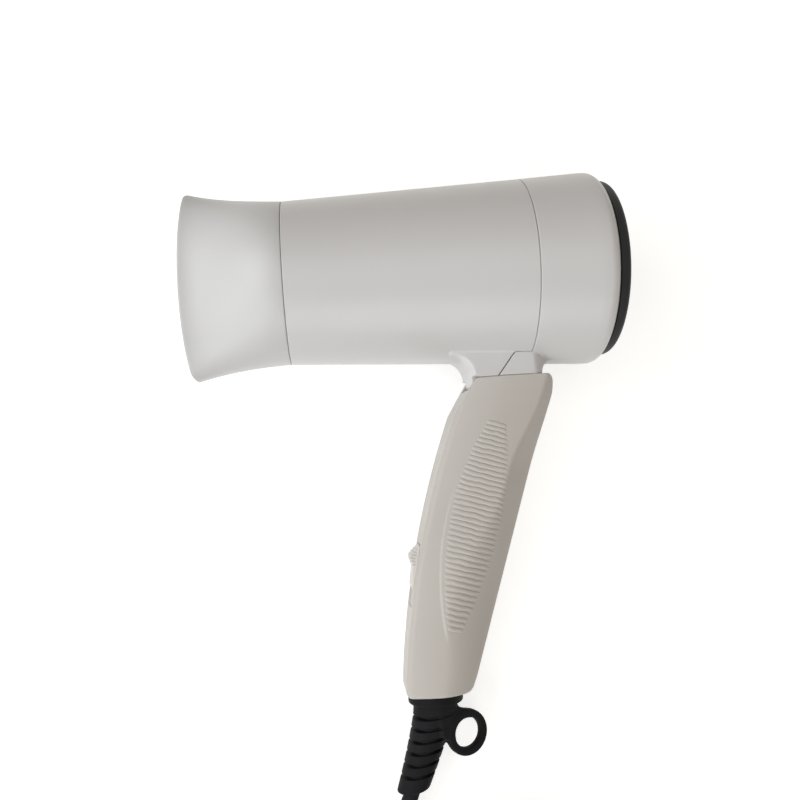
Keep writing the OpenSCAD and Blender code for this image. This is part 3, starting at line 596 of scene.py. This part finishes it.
# %% The neck and its slit
SEAM_X = 87.7
HINGE_X, HINGE_V = 67.6, -42.1
GRIP_HALF = 14.5
FOLD_CUT = math.radians(76)
SLIT_TOP, SLIT_FOOT = np.array([81.7, -31.2]), np.array([74.6, -40.0])


def barrel_radius(x):
    front = 30.2 + 4.6 * x / SEAM_X
    return np.where(x < SEAM_X, front, 34.8 + 1.3 * np.minimum((x - SEAM_X) / 22.3, 1))


neck_outline = ([(57.8, -22.0)] + arc(57.8, -39.4, 8, 90, 0, 12) + [(65.8, -46.0), (91.3, -46.0)]
                + arc(96.5, -40.4, 5.2, 180, 90, 10) + [(96.5, -22.0)])
slit_run = (SLIT_TOP - SLIT_FOOT) / np.linalg.norm(SLIT_TOP - SLIT_FOOT)


def past_slit(x, v):
    """How far behind the slit a place lies."""
    return (x - SLIT_TOP[0]) * slit_run[1] - (v - SLIT_TOP[1]) * slit_run[0]


def neck_rule(x, v, w):
    """The whole neck, cut off below so that the handle can fold."""
    half_width = GRIP_HALF - 7 * ease((x - 87.5) / 9) - 0.1 * (v + 40.1)
    flare = meet(outline_distance(neck_outline, x, v), np.abs(w) - half_width, 0.6)
    fold_room = 1.92 - (x - HINGE_X) * math.cos(FOLD_CUT) - (v - HINGE_V) * math.sin(FOLD_CUT)
    return meet(flare, overlap(-40.12 - v, fold_room), 0.08)


print("slit leans", round(math.degrees(math.atan2(slit_run[0], slit_run[1])), 1), "degrees from upright")

# %% Rules of the casings
BARREL_WALL, AIRWAY_R, SPIGOT_R, LAP_IN, LAP_OUT = 2.2, 25.6, 27.4, 31.2, 32.5
REAR_X, REAR_EDGE, LIP_R = 116.3, 4.2, 31.95


def block(x, v, w, low, high):
    """A block between two opposite corners."""
    return overlap(*[np.maximum(a - c, c - b) for c, a, b in zip((x, v, w), low, high)])


def neck_hollow(x, v, w, r):
    """The room inside the neck, and the wires' way down to the handle."""
    room = overlap(block(x, v, w, (69, -38, -10.4), (86, -24, 10.4)), barrel_radius(x) - r)
    return added(room, block(x, v, w, (73, -44, -9), (86, -36, 9)))


def front_casing_rule(x, v, w):
    """Cone, front of the neck, spigot for the nozzle, lap under the rear casing, and knuckle."""
    r = np.hypot(v, w)
    cone = meet(meet(r - barrel_radius(x), -x, 0.3), x - SEAM_X + 0.05, 0.1)
    neck = meet(neck_rule(x, v, w), past_slit(x, v) + 0.13, 0.1)
    form = join(cone, overlap(neck, x - SEAM_X + 0.05), 0.6)
    bore = overlap(r - barrel_radius(x) + BARREL_WALL, 2 - x)
    form = overlap(form, -bore, AIRWAY_R - r, -neck_hollow(x, v, w, r))
    spigot = overlap(r - SPIGOT_R, AIRWAY_R - r, -8 - x, x - 1)
    lap = overlap(r - LAP_OUT, LAP_IN - r, 84.7 - x, x - 90.9)
    knuckle = overlap(np.hypot(x - HINGE_X, v - HINGE_V) - 1.8, np.abs(w) - 7.85)
    web = block(x, v, w, (65.8, -42.1, -7.85), (69.4, -38.9, 7.85))
    return added(form, spigot, lap, knuckle, web)


def rear_casing_rule(x, v, w):
    """Cone with a rounded rear edge and a lip for the grille, and the rear of the neck."""
    r = np.hypot(v, w)
    cone = meet(meet(r - barrel_radius(x), SEAM_X + 0.05 - x, 0.28), x - REAR_X, REAR_EDGE)
    neck = meet(neck_rule(x, v, w), 0.13 - past_slit(x, v), 0.1)
    form = join(cone, neck, 0.6)
    front = overlap(r - barrel_radius(x) - 0.08, x - SEAM_X - 0.05)
    form = meet(form, -front, 0.06)
    inside = added(barrel_radius(x) - BARREL_WALL - r, overlap(LIP_R - r, 113.2 - x))
    return overlap(form, inside, -neck_hollow(x, v, w, r))


def wall_thickness(rule, x, v):
    """How much plastic a line across the dryer runs through, from its middle plane outwards."""
    w = np.arange(0, 50, 0.01)
    return round(float((rule(x + 0 * w, v + 0 * w, w) < 0).sum() * 0.01), 2)


print("front casing:", wall_thickness(front_casing_rule, 40.0, 0.0), "mm thick on its side")

# %% Casings from their rules
fine = steps((-180, -33, 1.5), (-33, 33, 0.6), (33, 180, 1.5))
turn_about = np.radians(np.concatenate([fine[:-1], [180, 180 + fine[1] - fine[0]]]))


def barrel_place(x, turn, r):
    """A place in the dryer's axes, from its place round the barrel."""
    return x + 0 * r, -r * np.cos(turn) + 0 * x, r * np.sin(turn) + 0 * x


def casing(node, rule, x_steps, r_steps):
    points, quads = net(rule, [x_steps, turn_about, r_steps], barrel_place)
    piece = merged(make_mesh(f"{node}_dressed", lay(points), quads, sharp=32), 2e-6)
    finish_piece(piece, "barrel", casing_finish, node)


front_x = steps((-9, -0.8, 0.8), (-0.8, 1, 0.2), (1, 55, 1.4), (55, 83, 0.55), (83, 86.6, 0.6),
                (86.6, 92, 0.3))
casing("front_casing", front_casing_rule, front_x, steps((24.8, 44.6, 0.5)))
rear_x = steps((73.4, 87.2, 0.5), (87.2, 88.6, 0.2), (88.6, 110.2, 0.6), (110.2, 116.7, 0.25))
casing("rear_casing", rear_casing_rule, rear_x, steps((30.4, 44.4, 0.5)))

# %% [markdown]
# ## The handle
#
# The handle is two shells that meet on the dryer's middle plane. Its front edge is a long arc with a
# rounded corner, its sides are slightly crowned and lean together towards the end, and a flat facet
# is cut along its back, narrow at the shoulder and wider down the grip. A leaf-shaped panel stands a
# little proud towards the end of the grip and carries the ribs. A loft could give the grip, but one
# rule for both shells, cut at the middle plane, makes sure that they match along their seam.

# %% Outline of the handle
HANDLE_TOP, HANDLE_END, HANDLE_WALL = -40.22, -152.6, 2.0
BACK = np.array([math.cos(math.radians(18.7)), -math.sin(math.radians(18.7))])
TAPER = math.tan(math.radians(1.25))
ARC_X, ARC_V, ARC_R = 374, -183, 341.6
side_outline = (arc(HINGE_X, HINGE_V, 1.8, 146, 90, 5) + [(68.6, HANDLE_TOP)]
                + arc(92.2, HANDLE_TOP - 3, 3, 90, 0, 8) + [(95.2, -100)]
                + arc(55.7, HANDLE_END + 4, 4, -18.7, -90, 10)
                + arc(36.1, HANDLE_END + 2.7, 2.7, -90, -188, 10)
                + [(25, -110), (25, -90), (53.1, -60.6)])
LEAF = ((146.8, -117.0, 98.8), (-26.4, -67.5, 103.5))


def front_edge(v):
    """Where the grip's front arc lies along the barrel's axis, at a height v."""
    return ARC_X - np.sqrt(ARC_R ** 2 - (v - ARC_V) ** 2)


def in_leaf(x, v):
    """How far a place lies inside the leaf's left and right edges."""
    return [r - np.hypot(x - cx, v - cy) for cx, cy, r in LEAF]


print("front edge of the grip lies at", front_edge(np.array([-60, -100, -140])).round(1), "mm along")

# %% Rule of the handle's form
def handle_form(x, v, w):
    """The handle as one solid: arc, crowned sides, leaf, facet along the back, and both ends."""
    depth = ARC_R - np.hypot(x - ARC_X, v - ARC_V)
    lean = TAPER * (HANDLE_TOP - v)
    crown = GRIP_HALF - np.where(depth < 15, 0.0136, 0.004) * (depth - 15) ** 2
    left, right = in_leaf(x, v)
    raised = 0.55 * ease((-72 - v) / 36) * ease(left / 0.5) * ease(right / 9) * ease((v + 134.5) / 4)
    side = np.abs(w) + lean - crown - raised
    front = meet(-depth, side, 1.8)
    behind = -((x - 55.6) * BACK[0] + (v + 165) * BACK[1]) - 1.15 * ease((-108 - v) / 42)
    crease = 4.3 + 4.9 * ease((-45 - v) / 30) - 4.6 * ease((-108 - v) / 42)
    facet = (np.abs(w) + lean - 13.6 - 1.1 * behind + 1.1 * crease) * 0.6727
    back = meet(-behind, facet, 1.2)
    ends = outline_distance(side_outline, x, v)
    sides = meet(front, back, 0.7 + 7 * ease((-82 - v) / 36) - 3 * ease((-120 - v) / 30))
    return meet(sides, ends, 0.12 + 1.0 * ease((-60 - v) / 60))


for v in (-60.0, -140.0):
    thick = 2 * wall_thickness(handle_form, front_edge(v) + 12, v)
    print("at", v, "the grip is", round(thick, 1), "mm thick")

# %% Rule of a handle shell
RELIEF_X = 45.1
SWITCH_X, SWITCH_V, SWITCH_TURN = 40.2, -110.5, math.radians(167.8)
SCREWS = ((83.5, -57), (66.5, -104), (54, -134))


def switch_axes(x, v):
    """Out of the handle, and towards its end, from the middle of the switch."""
    c, s, dx, dv = math.cos(SWITCH_TURN), math.sin(SWITCH_TURN), x - SWITCH_X, v - SWITCH_V
    return dx * c + dv * s, dv * c - dx * s


def handle_half_rule(x, v, w):
    """The shells' wall, with the ways and seats of hinge, wires, switch, relief and screws."""
    side = np.abs(w)
    form = handle_form(x, v, w)
    shell = overlap(meet(form, -side, 0.3), -form - HANDLE_WALL)
    from_hinge = np.hypot(x - HINGE_X, v - HINGE_V)
    swing = overlap(from_hinge - 2.1, side - 8.15)
    rest = overlap(from_hinge - 4.0, block(x, v, w, (62.6, -45.1, -8.15), (69.7, -36, 8.15)))
    passage = block(x, v, w, (73, -44.3, -9), (86, -36.3, 9))
    out, down = switch_axes(x, v)
    window = block(out, down, side, (-0.6, -11.4, -1), (3, 11.4, 5.5))
    slot = block(out, down, side, (-4, -6.6, -1), (2, 4.6, 2.1))
    mouth = overlap(np.hypot(x - RELIEF_X, w) - 6, np.abs(v - HANDLE_END) - 4)
    boss = added(*[np.hypot(x - a, v - b) for a, b in SCREWS])
    sink = np.where(w < 0, overlap(boss - 2.4, 7 - side), 1e3)
    post = np.where(w < 0, overlap(boss - 4, form + 0.5, 6 - side), 1e3)
    cuts = added(swing, rest, passage, window, slot, mouth, sink)
    return overlap(added(shell, post), -cuts)


print("handle shell:", wall_thickness(handle_half_rule, 60.0, -80.0), "mm thick on its side")

# %% Both handle shells
down_handle = steps((-153.4, -151.4, 0.25), (-151.4, -42.2, 0.5), (-42.2, -39.7, 0.2))
across_front = steps((-0.9, 3.1, 0.35), (3.1, 37.1, 0.5))
up_side = steps((-0.45, 1.05, 0.25), (1.05, 15.3, 0.45))


def handle_place(sign):
    """For the near or the far shell, a place in the dryer's axes from one behind the front edge."""
    return lambda v, s, w: (front_edge(v) + s + 0 * w, v + 0 * s + 0 * w, sign * w + 0 * s + 0 * v)


shells = {}
for name, sign in (("near", 1), ("far", -1)):
    def half(x, v, w, sign=sign):
        return overlap(handle_half_rule(x, v, w), -w * sign)
    points, quads = net(half, [down_handle, across_front, up_side], handle_place(sign))
    if sign < 0:
        quads = quads[:, ::-1]
    shell = merged(make_mesh(f"handle_{name}_dressed", lay(points), quads, sharp=32), 2e-6)
    shells[name] = finish_piece(shell, "handle", handle_finish, f"handle_shell_{name}")

# %% [markdown]
# ## The grip ribs
#
# Low ribs cross the leaf on both sides of the grip, all at one slope and a little wider apart
# towards its end. Each starts as a single edge between the leaf's two sides. A Geometry Nodes tree
# cuts the edges into short steps, drops them onto the shell with a raycast, sinks a round profile so
# that only its crown stands out, and fades it at both ends. The ribs could be part of the handle's
# rule, but its net would have to be far finer. The tree can be reused for ribs on any curved shell.

# %% Where each rib starts and ends
RIB_COUNT, RIB_SLOPE, RIB_PROUD, RIB_PROFILE, RIB_WAVE = 41, math.radians(-18), 0.27, 1.3, 1.1
FIRST_RIB, RIB_STEP, RIB_SPREAD, MID_GRIP = -53.5, 1.78, 0.0043, 60


def rib_edges(side):
    """One edge for each rib, from the leaf's front to its back, held off the shell's side."""
    spots, edges = [], []
    for i in range(RIB_COUNT):
        middle = FIRST_RIB - RIB_STEP * i - RIB_SPREAD * i * i
        across_line = [(MID_GRIP + s * math.cos(RIB_SLOPE), middle + s * math.sin(RIB_SLOPE))
                       for s in np.linspace(-30, 30, 1201)]
        lip = 0.5 + 0.9 * ease((-72 - middle) / 36)
        kept = [p for p in across_line
                if in_leaf(*p)[0] > lip and in_leaf(*p)[1] > 0.6 and -131.5 < p[1] < -55.5]
        if len(kept) < 30:
            continue
        edges.append((len(spots), len(spots) + 1))
        spots += [(*kept[0], 24 * side), (*kept[-1], 24 * side)]
    return spots, edges


print("ribs on each side:", len(rib_edges(1)[1]))

# %% Trees of nodes
def new_tree(name, sizes):
    """A Geometry Nodes tree: its named inputs, a helper that adds a node, and one that ends it."""
    tree = bpy.data.node_groups.new(name, "GeometryNodeTree")
    tree.interface.new_socket("Geometry", in_out="INPUT", socket_type="NodeSocketGeometry")
    for label, kind in sizes.items():
        tree.interface.new_socket(label, in_out="INPUT", socket_type=f"NodeSocket{kind}")
    tree.interface.new_socket("Geometry", in_out="OUTPUT", socket_type="NodeSocketGeometry")
    start, end = tree.nodes.new("NodeGroupInput"), tree.nodes.new("NodeGroupOutput")

    def add(kind, links=(), **settings):
        node = tree.nodes.new(kind)
        for key, setting in settings.items():
            setattr(node, key, setting)
        for socket, source in dict(links).items():
            if isinstance(source, bpy.types.Node):
                source = source.outputs[0]
            if isinstance(source, bpy.types.NodeSocket):
                tree.links.new(source, node.inputs[socket])
            else:
                node.inputs[socket].default_value = source
        return node

    def done(*parts):
        together = add("GeometryNodeJoinGeometry")
        for part in parts:
            tree.links.new(part.outputs[0], together.inputs[0])
        real = add("GeometryNodeRealizeInstances", {"Geometry": together})
        dressed = add("GeometryNodeSetMaterial", {"Geometry": real, "Material": start.outputs["Finish"]})
        tree.links.new(dressed.outputs[0], end.inputs[0])
        print(tree.name, "has", len(tree.nodes), "nodes")
        return tree

    return start.outputs, add, done


def use_tree(piece, tree, **sizes):
    """The tree's result on a piece, as a plain mesh at the origin."""
    modifier = piece.modifiers.new(tree.name, "NODES")
    modifier.node_group = tree
    for item in tree.interface.items_tree:
        if item.in_out == "INPUT" and item.name in sizes:
            modifier[item.identifier] = sizes[item.name]
    depsgraph = bpy.context.evaluated_depsgraph_get()
    mesh = bpy.data.meshes.new_from_object(piece.evaluated_get(depsgraph), depsgraph=depsgraph)
    mesh.name = piece.name
    piece.modifiers.remove(modifier)
    piece.data = mesh
    mesh.polygons.foreach_set("use_smooth", np.ones(len(mesh.polygons), bool))
    return merged(piece)


print("ready to build trees, of which there are", len(bpy.data.node_groups), "so far")

# %% Tree for ribs on a shell
given, add, done = new_tree("ribs_on_shell", {
    "Shell": "Object", "Down": "Vector", "Steps": "Int", "Profile Radius": "Float", "Proud": "Float",
    "Waviness": "Float", "Finish": "Material"})
seen_shell = add("GeometryNodeObjectInfo", {"Object": given["Shell"]}, transform_space="RELATIVE")
lines = add("GeometryNodeMeshToCurve", {"Mesh": given["Geometry"]})
fine_lines = add("GeometryNodeResampleCurve", {"Curve": lines, "Count": given["Steps"]})
drift = add("ShaderNodeTexNoise", {"Scale": 260.0, "Detail": 1.0}).outputs["Color"]
centred = add("ShaderNodeVectorMath", {0: drift, 1: (0.5, 0.5, 0.5)}, operation="SUBTRACT")
wave = add("ShaderNodeVectorMath", {0: centred, "Scale": given["Waviness"]}, operation="SCALE")
wavy = add("GeometryNodeSetPosition", {"Geometry": fine_lines, "Offset": wave})
drop = add("GeometryNodeRaycast", {"Target Geometry": seen_shell.outputs["Geometry"],
                                   "Ray Direction": given["Down"], "Ray Length": 0.05}).outputs
along_rib = add("GeometryNodeSplineParameter").outputs["Factor"]
rise = add("ShaderNodeMapRange", {"Value": along_rib, "From Max": 0.09},
           interpolation_type="SMOOTHSTEP")
fall = add("ShaderNodeMapRange", {"Value": along_rib, "From Min": 0.8, "From Max": 1.0, "To Min": 1.0,
                                  "To Max": 0.0}, interpolation_type="SMOOTHSTEP")
faded = add("ShaderNodeMath", {0: rise, 1: fall}, operation="MULTIPLY")
height = add("ShaderNodeMath", {0: faded, 1: given["Proud"]}, operation="MULTIPLY")
sunk = add("ShaderNodeMath", {0: height, 1: given["Profile Radius"]}, operation="SUBTRACT")
offset = add("ShaderNodeVectorMath", {0: drop["Hit Normal"], "Scale": sunk}, operation="SCALE")
placed = add("GeometryNodeSetPosition", {"Geometry": wavy, "Selection": drop["Is Hit"],
                                         "Position": drop["Hit Position"], "Offset": offset})
rib_section = add("GeometryNodeCurvePrimitiveCircle", {"Resolution": 20, "Radius": given["Profile Radius"]})
tubes = add("GeometryNodeCurveToMesh", {"Curve": placed, "Profile Curve": rib_section, "Fill Caps": True})
ribs_tree = done(tubes)

# %% Ribs on both sides
for name, sign in (("near", 1), ("far", -1)):
    spots, edges = rib_edges(sign)
    rib_mesh = bpy.data.meshes.new(f"grip_ribs_{name}")
    rib_mesh.from_pydata(lay(spots).tolist(), edges, [])
    ribs = linked(f"grip_ribs_{name}", rib_mesh)
    use_tree(ribs, ribs_tree, Shell=shells[name], Down=(-sign * AXES[2]).tolist(), Steps=44,
             Proud=RIB_PROUD / 1000, Waviness=RIB_WAVE / 1000, Finish=handle_finish,
             **{"Profile Radius": RIB_PROFILE / 1000})
    finish_piece(ribs, "handle", handle_finish)

# %% [markdown]
# ## The thumb switch
#
# A slider on the front of the handle switches the dryer on with the thumb. It is a thin plate that
# covers its window, with a sloping catch whose low ridges stop the thumb from slipping. It could be
# a bevelled block with its ridges on top. As a rule, in axes that lean with the handle's front, catch
# and plate flow into each other.

# %% Switch slider
catch_outline = [(-0.4, -11), (0.05, -11), (2.5, -7.6), (2.9, -6.6), (2.6, -5.3), (1.2, -3), (0.8, 4),
                 (0.05, 4.9), (-0.4, 5)]


def slider_rule(out, down, w):
    catch = meet(outline_distance(catch_outline, out, down), np.abs(w) - 4.6, 0.45)
    ridges = 0.14 * np.cos((down + 6) * 2 * np.pi / 1.1) * ease((-2.6 - down) / 0.8)
    catch = catch - np.where(out > 0.6, ridges, 0)
    plate = meet(block(out, down, w, (-0.47, -11, -5.2), (0.15, 5, 5.2)), np.abs(w) - 5.2, 0.2)
    stem = block(out, down, w, (-5.2, -6, -1.4), (-0.2, -3, 1.4))
    return added(join(catch, plate, 0.3), stem)


points, quads = net(slider_rule, [steps((-5.5, -1, 0.5), (-1, 3.5, 0.22)), steps((-11.6, 5.6, 0.22)),
                                  steps((-5.7, 5.7, 0.3))])
out, down, w = points.T
c, s = math.cos(SWITCH_TURN), math.sin(SWITCH_TURN)
points = np.stack([SWITCH_X + out * c - down * s, SWITCH_V + out * s + down * c, w], 1)
slider = merged(make_mesh("switch_slider_dressed", lay(points), quads, sharp=35))
finish_piece(slider, "switch", knob_finish, "switch_knob")

# %% [markdown]
# ## The inlet grille
#
# The grille keeps hair out of the fan. Its rim is turned, as on a lathe: an outline swung round the
# barrel's axis. Inside the rim, a Geometry Nodes tree lays concentric bars and crosses them with
# spokes, with the bars' number, step and section as inputs.

# %% Turned rim
def turned(outline, sides=128):
    """A closed ring swung round the barrel's axis, from an outline of (radius, x)."""
    angle = np.linspace(0, 2 * np.pi, sides, endpoint=False)
    return skin_loop([np.stack([np.full(sides, x), r * np.cos(angle), r * np.sin(angle)], 1)
                      for r, x in outline])


GRILLE_X, RIM_R, RIM_ROUND = 120.6, 33.0, 2.2
rim_outline = ([(30.0, 112.6), (31.7, 112.6), (31.8, 112.8), (31.8, 116.4), (RIM_R - 0.3, 116.4)]
               + [(RIM_R, 116.7)] + arc(RIM_R - RIM_ROUND, GRILLE_X - RIM_ROUND, RIM_ROUND, 0, 90, 10)
               + [(29.4, GRILLE_X), (29.0, GRILLE_X - 0.15), (28.1, GRILLE_X - 1.4), (28, GRILLE_X - 3)]
               + [(30.0, GRILLE_X - 3)])
rim_points, rim_faces = turned(rim_outline)
print("rim:", len(rim_outline), "corners in its outline,", len(rim_points), "points")

# %% Tree for bars and spokes
given, add, done = new_tree("grille_bars", {
    "Bars": "Int", "First Radius": "Float", "Step": "Float", "Bar Width": "Float", "Bar Depth": "Float",
    "Spokes": "Int", "Spoke Length": "Float", "Finish": "Material"})
section = add("GeometryNodeCurvePrimitiveQuadrilateral", {"Width": given["Bar Width"],
                                                          "Height": given["Bar Depth"]})
soft = add("GeometryNodeFilletCurve", {"Curve": section, "Radius": 0.0004, "Count": 3}, mode="POLY")
index = add("GeometryNodeInputIndex")
places = add("GeometryNodeMeshLine", {"Count": given["Bars"], "Offset": (0, 0, 0)})
grown = add("ShaderNodeMath", {0: index, 1: given["Step"], 2: given["First Radius"]},
            operation="MULTIPLY_ADD")
ring = add("GeometryNodeCurvePrimitiveCircle", {"Resolution": 96, "Radius": 1.0})
rings = add("GeometryNodeInstanceOnPoints", {"Points": places, "Instance": ring, "Scale": grown})
real_rings = add("GeometryNodeRealizeInstances", {"Geometry": rings})
bars = add("GeometryNodeCurveToMesh", {"Curve": real_rings, "Profile Curve": soft})
spots = add("GeometryNodeMeshLine", {"Count": given["Spokes"], "Offset": (0, 0, 0)})
turn_step = add("ShaderNodeMath", {0: 2 * math.pi, 1: given["Spokes"]}, operation="DIVIDE")
angle = add("ShaderNodeMath", {0: index, 1: turn_step}, operation="MULTIPLY")
spin = add("ShaderNodeCombineXYZ", {"Z": angle})
reach = add("ShaderNodeCombineXYZ", {"X": given["Spoke Length"], "Z": -0.0006})
spoke = add("GeometryNodeCurvePrimitiveLine", {"Start": (0.0036, 0, -0.0006), "End": reach})
spoke_bar = add("GeometryNodeCurveToMesh", {"Curve": spoke, "Profile Curve": soft, "Fill Caps": True})
spokes = add("GeometryNodeInstanceOnPoints", {"Points": spots, "Instance": spoke_bar, "Rotation": spin})
bars_tree = done(bars, spokes)

# %% Grille in one piece
bars_piece = make_mesh("grille_bars", [(0, 0, 0)], [])
use_tree(bars_piece, bars_tree, Bars=6, Step=0.004, Spokes=12, Finish=grille_finish,
         **{"First Radius": 0.00525, "Bar Width": 0.0015, "Bar Depth": 0.0016, "Spoke Length": 0.0288})
bar_points = np.array([v.co for v in bars_piece.data.vertices]) * 1000
bar_faces = [[i + len(rim_points) for i in p.vertices] for p in bars_piece.data.polygons]
bar_points = np.stack([GRILLE_X - RIM_ROUND + bar_points[:, 2], bar_points[:, 0], bar_points[:, 1]], 1)
hub_outline = [(0.01, GRILLE_X - 3), (4.4, GRILLE_X - 3), (4.6, GRILLE_X - 2.8), (4.6, GRILLE_X - 1.8),
               (4.0, GRILLE_X - 1.5), (0.01, GRILLE_X - 1.35)]
hub_points, hub_faces = turned(hub_outline, 48)
hub_faces = [[i + len(rim_points) + len(bar_points) for i in f] for f in hub_faces]
bpy.data.objects.remove(bars_piece)
grille = merged(make_mesh("inlet_grille_dressed", lay(np.concatenate([rim_points, bar_points, hub_points])),
                          list(rim_faces) + bar_faces + hub_faces, sharp=38))
finish_piece(grille, "barrel", grille_finish, "inlet_grille")

# %% [markdown]
# ## The strain relief and its loop
#
# A rubber sleeve keeps the lead from bending sharply where it enters the handle. Its grooves are deep
# at the sides and shallow in front, which lets it bend both ways without closing up. A collar seats
# it against the handle, and a flat ring grows out of its side, so that the dryer can hang on a hook.
# An array of discs along a curve could make the grooves. A rule lets them fade into the sleeve, and
# the ring into the collar, as in one piece of rubber.

# %% Rules of the strain relief
RELIEF_TOP, RELIEF_END = -155.9, -186.8
GROOVES = [-160.5 - 4.08 * i for i in range(6)]
EYE_X, EYE_V, EYE_W, EYE_R, LOOP_TILT = 55.3, -167.9, 2, 5.3, math.radians(22)
web_outline = [(-11, 11), (-2.5, 9.4), (2.5, 7.3), (0, 0), (-6.5, -1.8), (-10, -0.4)]


def relief_rule(x, v, w):
    """Grooved sleeve, collar, the stub inside the handle, and the ring on its web."""
    t = np.clip((RELIEF_TOP - v) / (RELIEF_TOP - RELIEF_END), 0, 1)
    off = x - (RELIEF_X - 10.4 * t ** 1.2)
    sideways = off ** 2 / (off ** 2 + w ** 2 + 1e-9)
    slanted = v - off * 0.087
    groove = sum(ease(1.5 - np.abs(slanted - g) / 0.5) for g in GROOVES)
    radius = 7.9 - 2.1 * t + 0.3 * ease(1 - t * 6) - groove * (0.7 + 1.5 * sideways)
    sleeve = meet(np.hypot(off, w) - radius, RELIEF_END - slanted, 0.8)
    sleeve = overlap(sleeve, v - HANDLE_END)
    collar = meet(np.hypot(x - RELIEF_X, w) - 10, np.abs(v + 154.45) - 1.8, 0.6)
    stub = overlap(np.hypot(x - RELIEF_X, w) - 5.9, np.abs(v + 152.1) - 1.5)
    lx = (x - EYE_X) * math.cos(LOOP_TILT) - (w - EYE_W) * math.sin(LOOP_TILT)
    lz = (x - EYE_X) * math.sin(LOOP_TILT) + (w - EYE_W) * math.cos(LOOP_TILT)
    from_eye = np.hypot(lx, v - EYE_V)
    ring = meet(np.abs(from_eye - 6.72) - 1.42, np.abs(lz) - 1.6, 0.9)
    web = meet(outline_distance(web_outline, lx, v - EYE_V), np.abs(lz) - 1.2, 0.5)
    web = meet(web, EYE_R - from_eye, 0.5)
    body = join(sleeve, added(collar, stub), 0.5)
    return join(body, join(ring, web, 0.6), 1.6)


points, quads = net(relief_rule, [steps((26.2, 65, 0.42)), steps((-187.6, -150.2, 0.27)),
                                  steps((-10.6, 11.8, 0.42))])
relief = merged(make_mesh("strain_relief_dressed", lay(points), quads, sharp=34))
finish_piece(relief, "handle", rubber_finish, "strain_relief")

# %% [markdown]
# ## The plug
#
# Two round pins stand in a flat body, with a waisted grip behind it, so that the plug can be pulled
# without pulling the lead. The body is a disc cut flat on two sides and the grip is a turned form.
# A lathe profile alone could not make the flats, so both are rules, joined with a soft edge.

# %% Body of the plug
PLUG_FACE = np.array([98, -212.6, 12.5])


def plug_rule(x, y, z):
    """Disc with two flats, and the waisted grip, measured from the plug's face."""
    r = np.hypot(y, z)
    disc = meet(meet(meet(r - 17.45, -11 - x, 2.6), x, 0.9), np.abs(z) - 12.45, 1.3)
    waist = 4.7 + 4.7 * ease((x + 31) / 9) - 1.2 * ease((x + 21) / 5) + 2.4 * ease((x + 16) / 6)
    grip = meet(r - waist, overlap(-36.9 - x, x + 8), 0.7)
    return join(disc, grip, 1.4)


points, quads = net(plug_rule, [steps((-37.6, 0.7, 0.5)), steps((-18.2, 18.2, 0.55)),
                                steps((-13.2, 13.2, 0.55))])
plug_finish = moulded("plug_plastic", colour(17, 17, 19), 0.48, vary=0.12, grain=1700, bump=0.05,
                      specular=0.25)
plug = merged(make_mesh("plug_body_dressed", (points + PLUG_FACE) / 1000, quads, sharp=34))
finish_piece(plug, "handle", plug_finish, "plug_body")

# %% The lead takes its place
lead_curve.materials.append(jacket_finish)
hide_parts("power_cord", "cord_coil", "cord_tail")
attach(mains_lead, "handle")

# %% [markdown]
# ## Finishes of the pieces inside
#
# The fan, the heater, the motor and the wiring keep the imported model's own shapes. They show through
# the outlet, and when the dryer is taken apart on screen, so each gets the finish of its own stuff:
# split mica, drawn wire, pressed steel, plated screws, nylon. The same `moulded` recipe makes them
# all, with a stretched noise where the real piece shows a grain, as rolled or drawn metal does.

# %% Finishes by node
inner = {  # colour, roughness, mottling, grain, bump, metal, coat, stretch
    "mica_sheet": ((176, 158, 124), 0.42, 0.22, 500, 0.05, 0.0, 0.25),
    "heater_wire": ((124, 116, 110), 0.36, 0.16, 2600, 0.04, 0.9),
    "bright_steel": ((176, 176, 174), 0.3, 0.07, 1600, 0.03, 1.0),
    "pressed_steel": ((150, 150, 150), 0.38, 0.1, 900, 0.04, 1.0, 0.0, (1, 1, 6)),
    "turned_brass": ((196, 164, 96), 0.3, 0.1, 1800, 0.03, 1.0),
    "copper_winding": ((168, 92, 52), 0.32, 0.16, 3000, 0.08, 0.8, 0.4),
    "ferrite": ((62, 60, 60), 0.62, 0.14, 1400, 0.08),
    "fan_nylon": ((58, 57, 58), 0.45, 0.08, 1500, 0.04),
    "amber_film": ((188, 120, 44), 0.35, 0.12, 1200, 0.03, 0.0, 0.3),
    "board_laminate": ((176, 138, 84), 0.5, 0.12, 900, 0.05),
    "wire_jacket": ((226, 222, 214), 0.42, 0.06, 2000, 0.04),
    "tie_plastic": ((24, 24, 25), 0.4, 0.14, 2400, 0.06),
}
inner = {name: moulded(name, colour(*rgb), *facts) for name, (rgb, *facts) in inner.items()}
print("finishes for the inside:", len(inner))

# %% Each inner node gets its finish
inner["grille_plastic"] = grille_finish
wears = {
    "mica_sheet": ["mica_liner", "mica_board_upright", "mica_board_flat"],
    "heater_wire": ["heater_coils"],
    "bright_steel": ["casing_screws", "handle_screws", "clamp_screws", "motor_shaft", "hinge_pin",
                     "thermostat"],
    "pressed_steel": ["motor_can"],
    "turned_brass": ["motor_bushes", "plug_pins"],
    "copper_winding": ["armature"],
    "ferrite": ["motor_magnets"],
    "fan_nylon": ["fan_housing", "fan_impeller", "motor_end_cap", "switch_body", "cord_clamp"],
    "amber_film": ["thermal_fuse", "capacitor"],
    "board_laminate": ["diode_board"],
    "wire_jacket": ["barrel_leads", "handle_leads"],
    "tie_plastic": ["coil_tie"],
    "grille_plastic": ["outlet_grille", "inlet_mesh"],
}
for finish, names in wears.items():
    for name in names:
        for place in nodes[name].material_slots:
            place.material = inner[finish]
undressed = set(nodes) - dressed_nodes - {name for names in wears.values() for name in names}
print("nodes without a finish:", sorted(undressed))
